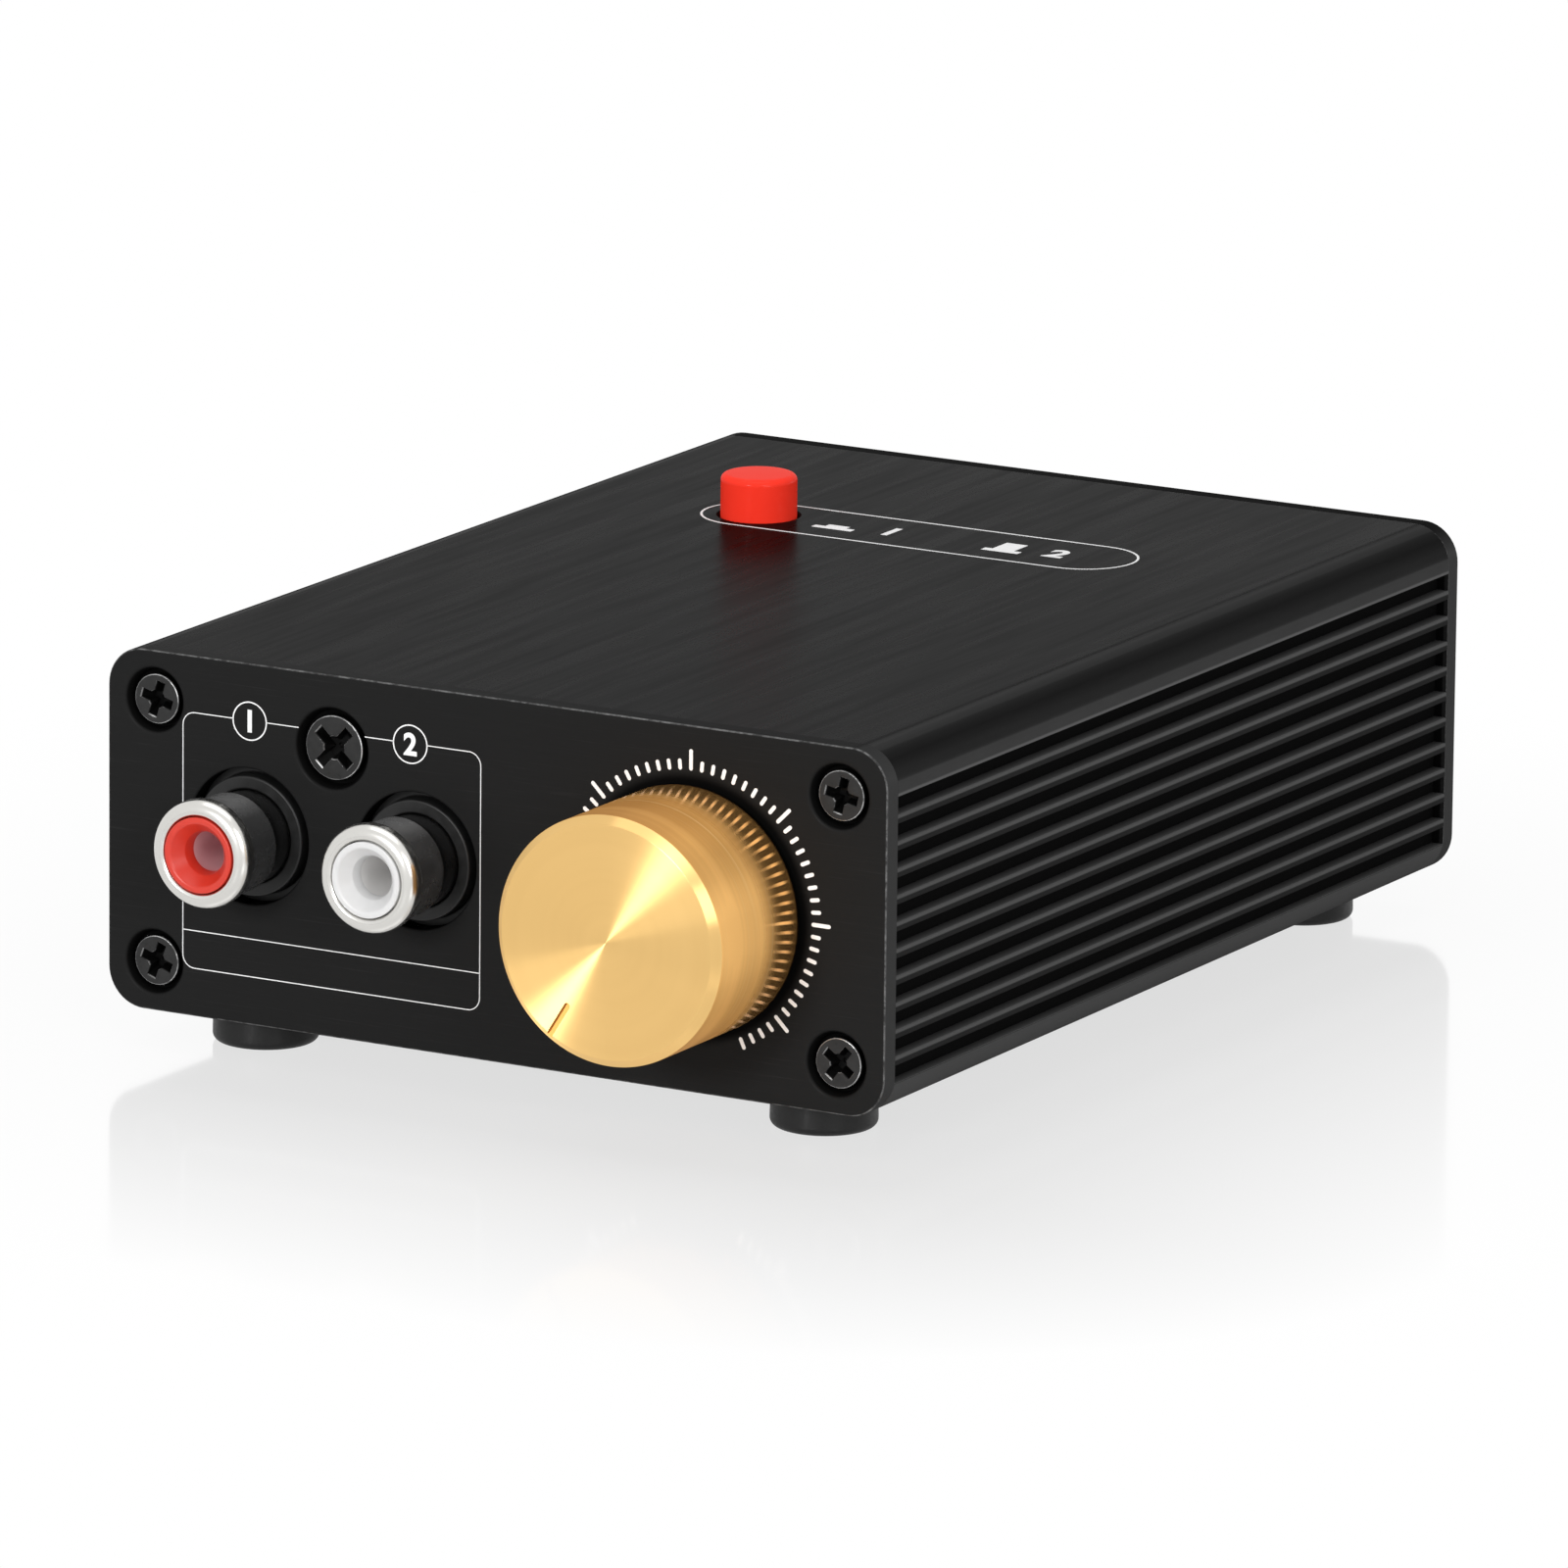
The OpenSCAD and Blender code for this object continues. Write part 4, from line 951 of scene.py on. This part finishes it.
def buildSpring():
    k = named(spring)
    low, high = boxOf("selector_spring")
    middle, height = (low + high) / 2, high.z - low.z
    wire, ring, rise = k.wire / 2, (k.d - k.wire) / 2, height - k.wire
    sections, n = int(k.turns * k.steps), k.around
    verts, faces = [], []
    for i in range(sections + 1):
        a = 2 * pi * k.turns * i / sections
        out = Vector((cos(a), sin(a), 0))
        centre = Vector((middle.x, middle.y, low.z + wire + rise * i / sections)) + out * ring
        verts += [centre + out * wire * cos(b) + Vector((0, 0, wire * sin(b))) for b in circleAngles(n)]
    for i in range(sections):
        faces += [(i * n + j, i * n + (j + 1) % n, (i + 1) * n + (j + 1) % n, (i + 1) * n + j) for j in range(n)]
    faces += [list(range(n)), list(range(sections * n, (sections + 1) * n))]
    piece = addMesh("returnSpring", (verts, faces), finishes["plain_steel"])
    seat(piece, "plain_steel", "selector_spring")
    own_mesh(piece)


buildButton()
for footNode in ("foot_front_left", "foot_front_right", "foot_rear_left", "foot_rear_right"):
    buildFoot(footNode)
buildSpring()
print("button, feet and spring built")


rearJack = dict(
    bushR=3.0, boreR=1.8, reach=3.0, back=3.2, nutR=4.0, nutT=1.8, nutGap=0.05, notches=24, notchSteps=8,
    notchDepth=0.14, notchRise=2.2, steps=72, bodyEdge=0.2, inletEdge=0.18, pinEdge=0.3,
)


def buildRear():
    k = named(rearJack)
    spot = rearFrame @ shift(jackX, 0, jackZ)
    bush = softCorners([(k.boreR, -k.reach, 0.25), (k.bushR, -k.reach, 0.15), (k.bushR, k.back), (k.boreR, k.back)],
                       hold=0.04)
    addTurned("jackSleeve", bush, k.steps, spot, "nickel_plate", "jack_bushing", closed=True)
    # the ring nut, with notches round its outside
    inner = k.bushR + k.nutGap
    ring = softCorners([(inner, -k.nutT, 0.1), (k.nutR, -k.nutT, 0.25), (k.nutR, 0, 0.1), (inner, 0)], hold=0.04)
    verts, faces = lathe(ring, k.notches * k.notchSteps, closed=True)
    notched = []
    for i, (x, y, z) in enumerate(verts):
        r = hypot(x, z)
        phase = i % k.notchSteps / k.notchSteps
        cut = k.notchDepth * max(0.0, 1 - abs(2 * phase - 1) * k.notchRise) if r > k.nutR - 0.3 else 0.0
        notched.append((x * (r - cut) / r, y, z * (r - cut) / r))
    piece = addMesh("jackRing", moved((notched, faces), spot), finishes["nickel_plate"])
    seat(piece, "nickel_plate", "jack_nut")
    addCopy("jackHousing", "jack_body", "moulded_black", k.bodyEdge)
    addCopy("powerSocket", "power_inlet", "moulded_black", k.inletEdge, steps=3)
    addCopy("powerPost", "power_pin", "nickel_plate", k.pinEdge, steps=4)


buildRear()
print("rear connectors built")


# places of the printing: on the front (across, up), on the top (across, back)
inkDepth = dict(proud=-0.02, sunk=0.02)
frontPrint = dict(
    left=-26.5, right=-0.97, top=23.1, bottom=3.68, rule=6.55, corner=1.0, line=0.068, ring=0.1,
    badges=((-20.74, 23.05, "1"), (-6.98, 23.03, "2")), badgeR=1.43, badgeSteps=48, numeral=2.3, gapR=3.1,
)
dialPrint = dict(
    inner=10.15, minor=10.97, end=11.1, major=11.74, step=5, majorStep=45, limit=155, width=0.3, lift=0.14,
)
topPrint = dict(
    left=-18.75, right=18.25, middle=64.2, r=4.2, line=0.18, numeral=3.4, numbers=(("1", -2.6), ("2", 11.9)),
    pressed=((-8.77, 62.65), (-5.33, 62.65), (-5.33, 63.3), (-6.1, 63.3), (-6.1, 63.94), (-7.9, 63.94),
             (-7.9, 63.3), (-8.77, 63.3)),
    released=((6.14, 62.5), (9.28, 62.5), (9.28, 63.2), (8.59, 63.2), (8.59, 65.5), (6.75, 65.5),
              (6.75, 63.2), (6.14, 63.2)),
)


def onFront(u, v, d):
    return Vector((u, frontY + d, bottomZ + v))


def onTop(u, v, d):
    return Vector((u, frontY + v, topZ - d))


# a flat line of ink: a thin bar swept along points, with its own width at each
def inkLine(points, widths, surface, closed=False):
    verts, faces = [], []
    n = len(points)
    proud, sunk = inkDepth.values()
    for i, p in enumerate(points):
        a = points[i - 1] if i or closed else p
        b = points[(i + 1) % n] if i < n - 1 or closed else p
        side = (Vector(b) - Vector(a)).normalized()
        side = Vector((-side.y, side.x)) * (widths[i] if isinstance(widths, list) else widths) / 2
        for s, d in ((1, proud), (-1, proud), (-1, sunk), (1, sunk)):
            verts.append(surface(p[0] + s * side.x, p[1] + s * side.y, d))
    for i in range(n if closed else n - 1):
        j = (i + 1) % n
        faces += [(4 * i + k, 4 * i + (k + 1) % 4, 4 * j + (k + 1) % 4, 4 * j + k) for k in range(4)]
    if not closed:
        faces += [(0, 1, 2, 3), tuple(range(4 * n - 4, 4 * n))]
    return verts, faces


# a stroke with round ends
def inkStroke(a, b, width, surface):
    length, way = (b - a).length, (b - a).normalized()
    half = width / 2
    spots = [half * (1 - cos(pi / 2 * k / 4)) for k in range(5)]
    places = [(s, 2 * sqrt(max(half ** 2 - (half - s) ** 2, (0.08 * width) ** 2))) for s in spots]
    places += [(length - s, w) for s, w in reversed(places)]
    return inkLine([a + way * s for s, w in places], [w for s, w in places], surface)


def inkShape(points, surface):
    n = len(points)
    verts = [surface(u, v, d) for d in inkDepth.values() for u, v in points]
    return verts, [list(range(n)), list(range(2 * n - 1, n - 1, -1))] + prismSides(n)


def inkNumeral(text, u, v, size, surface):
    letters = bpy.data.curves.new("numeral", "FONT")
    letters.body = text
    letters.size = size
    letters.offset = size * 0.03
    letters.align_x, letters.align_y = "CENTER", "CENTER"
    letters.extrude = 0.5
    letters.resolution_u = 8
    holder = addObject("numeral", letters)
    mesh = finalMesh(holder)
    points = [p.co for p in mesh.vertices]
    middle = [(min(p[i] for p in points) + max(p[i] for p in points)) / 2 for i in (0, 1)]
    verts = [surface(u + p.x - middle[0], v + p.y - middle[1], inkDepth["proud" if p.z > 0 else "sunk"])
             for p in points]
    faces = [list(f.vertices) for f in mesh.polygons]
    bpy.data.objects.remove(holder)
    return verts, faces


def arcPoints(x, y, r, start, end, steps):
    angles = [radians(start + (end - start) * i / steps) for i in range(steps + 1)]
    return [(x + r * cos(a), y + r * sin(a)) for a in angles]


def addPrint(name, shapes):
    seat(addMesh(name, gather(shapes), printWhite, smooth=20, weld=0.001), "insulator_white")


def buildFrontPrint():
    k = named(frontPrint)
    c, top = k.corner, k.top
    # the frame, opened along its upper line for the badges and the fixing screw
    reach = sqrt(k.gapR ** 2 - (top - fixingZ) ** 2)
    stops = [(x - k.badgeR, x + k.badgeR) for x, z, text in k.badges]
    stops.insert(1, (phonoX - reach, phonoX + reach))
    path = [(stops[2][1], top)]
    for x, z, start in ((k.right - c, top - c, 90), (k.right - c, k.bottom + c, 0), (k.left + c, k.bottom + c, -90),
                        (k.left + c, top - c, 180)):
        path += arcPoints(x, z, c, start, start - 90, 8)
    path.append((stops[0][0], top))
    paths = [path] + [[(a[1], top), (b[0], top)] for a, b in zip(stops, stops[1:])]
    paths.append([(k.left, k.rule), (k.right, k.rule)])
    shapes = [inkLine(way, k.line, onFront) for way in paths]
    last = k.badgeSteps - 1
    for x, z, text in k.badges:
        circle = arcPoints(x, z, k.badgeR, 0, 360 * last / k.badgeSteps, last)
        shapes += [inkLine(circle, k.ring, onFront, closed=True), inkNumeral(text, x, z, k.numeral, onFront)]
    addPrint("frontPrint", shapes)


def buildDialPrint():
    k = named(dialPrint)
    centre = Vector((dialX, dialZ + k.lift))
    shapes = []
    for a in range(-k.limit, k.limit + 1, k.step):
        outer = k.major if a % k.majorStep == 0 else k.end if abs(a) == k.limit else k.minor
        way = Vector((sin(radians(a)), cos(radians(a))))
        shapes.append(inkStroke(centre + way * k.inner, centre + way * outer, k.width, onFront))
    addPrint("dialPrint", shapes)


def buildTopPrint():
    k = named(topPrint)
    y, r = k.middle, k.r
    path = arcPoints(k.right - r, y, r, -90, 90, 20) + arcPoints(k.left + r, y, r, 90, 270, 20)
    # pressed and released marks, each beside its input number
    shapes = [inkLine(path, k.line, onTop, closed=True), inkShape(k.pressed, onTop), inkShape(k.released, onTop)]
    shapes += [inkNumeral(text, x, y, k.numeral, onTop) for text, x in k.numbers]
    addPrint("topPrint", shapes)


buildFrontPrint()
buildDialPrint()
buildTopPrint()
print("printing built")


# lamps: name, place, aim, width, height and power
studio = dict(
    fill=0.55, floor=rgb(0.9, 0.9, 0.9), floorRough=0.5, floorSize=4.0, footprint=(0.033, 0.045, 1.0),
    glow=(0.004, 0.07, 0.9, 1.0), mirror=(0.004, 0.05, 0.21, 0.0), mirrorRough=0.09,
    lamps=(("overhead", (0.0, -0.1, 0.8), (0, 0, 0.01), 0.7, 0.5, 1.3),
           ("key", (-0.055, -1.0, 0.30), (0.01, -0.05, 0.02), 0.22, 0.18, 4.4),
           ("side", (0.76, -0.6, 0.36), (0.02, 0.0, 0.02), 0.4, 0.4, 2.8),
           ("rim", (0.6, 0.95, 0.14), (0.02, -0.05, 0.02), 0.25, 0.2, 0.5)),
)


# 1 for camera, glossy and transmission rays, which see a white studio, and 0 for the rest
def seenDirectly(tree):
    path = addNode("LightPath", {}, tree).outputs
    traced = addMath("MAXIMUM", path["Is Glossy Ray"], path["Is Transmission Ray"])
    return addMath("MAXIMUM", path["Is Camera Ray"], traced)


def buildWorld():
    world = bpy.data.worlds.new("studio")
    scene.world = world
    world.use_nodes = True
    background = world.node_tree.nodes["Background"]
    strength = remap(seenDirectly(world.node_tree), 0.0, 1.0, studio["fill"], 1.0)
    shade(background, Color=grey(1.0), Strength=strength)


def buildFloor():
    k = named(studio)
    size = k.floorSize
    mesh = bpy.data.meshes.new("floor")
    mesh.from_pydata([(-size, -size, 0), (size, -size, 0), (size, size, 0), (-size, size, 0)], [], [(0, 1, 2, 3)])
    finish, matte, place = newFinish("paleFloor", Base_Color=k.floor, Roughness=k.floorRough, Specular_IOR_Level=0.0)
    tree = finish.node_tree
    mirror = addNode("BsdfPrincipled", {"Base Color": grey(1.0), "Metallic": 1.0, "Roughness": k.mirrorRough}, tree)
    glow = addNode("Emission", {"Color": grey(1.0), "Strength": 1.0}, tree)
    # whiter away from the object's footprint, with a faint reflection near it
    away = outsideOf(place, k.footprint)
    white = multiply(remap(away, *k.glow, smooth=True), seenDirectly(tree))
    lit = addNode("MixShader", {0: white, 1: matte.outputs[0], 2: glow.outputs[0]})
    final = addNode("MixShader", {0: remap(away, *k.mirror), 1: lit.outputs[0], 2: mirror.outputs[0]})
    shade(tree.nodes["Material Output"], Surface=final.outputs[0])
    mesh.materials.append(finish)
    addObject("floor", mesh)


def buildLamps():
    for name, spot, aim, width, height, power in studio["lamps"]:
        lamp = bpy.data.lights.new(name, "AREA")
        lamp.shape = "RECTANGLE"
        lamp.size, lamp.size_y, lamp.energy = width, height, power
        turn = (Vector(aim) - Vector(spot)).to_track_quat("-Z", "Y").to_matrix().to_4x4()
        addObject(name, lamp).matrix_world = shift(*spot) @ turn


# the photograph's view: angles in degrees, lengths in millimetres, aimed right of and above the panel's foot
view = dict(
    azimuth=29.46, elevation=13.42, roll=0.59, lens=353.4, sensor=36.0, distance=1127.59, right=21.49, up=20.35,
)


def buildCamera():
    k = named(view)
    a, e, r = radians(k.azimuth), radians(k.elevation), radians(k.roll)
    back = Vector((sin(a) * cos(e), -cos(a) * cos(e), sin(e)))
    right = Vector((cos(a), sin(a), 0))
    up = back.cross(right)
    right, up = cos(r) * right + sin(r) * up, -sin(r) * right + cos(r) * up
    aim = Vector((0, frontY, bottomZ)) + k.right * right + k.up * up
    data = bpy.data.cameras.new("photoView")
    data.sensor_width, data.lens = k.sensor, k.lens
    data.clip_start, data.clip_end = 0.05, 20.0
    scene.camera = addObject("photoView", data)
    turn = Matrix((right, up, back)).transposed().to_4x4()
    scene.camera.matrix_world = Matrix.Translation((aim + back * k.distance) * mm) @ turn


buildWorld()
buildFloor()
buildLamps()
buildCamera()
scene.view_settings.view_transform = "Standard"
print("studio built")
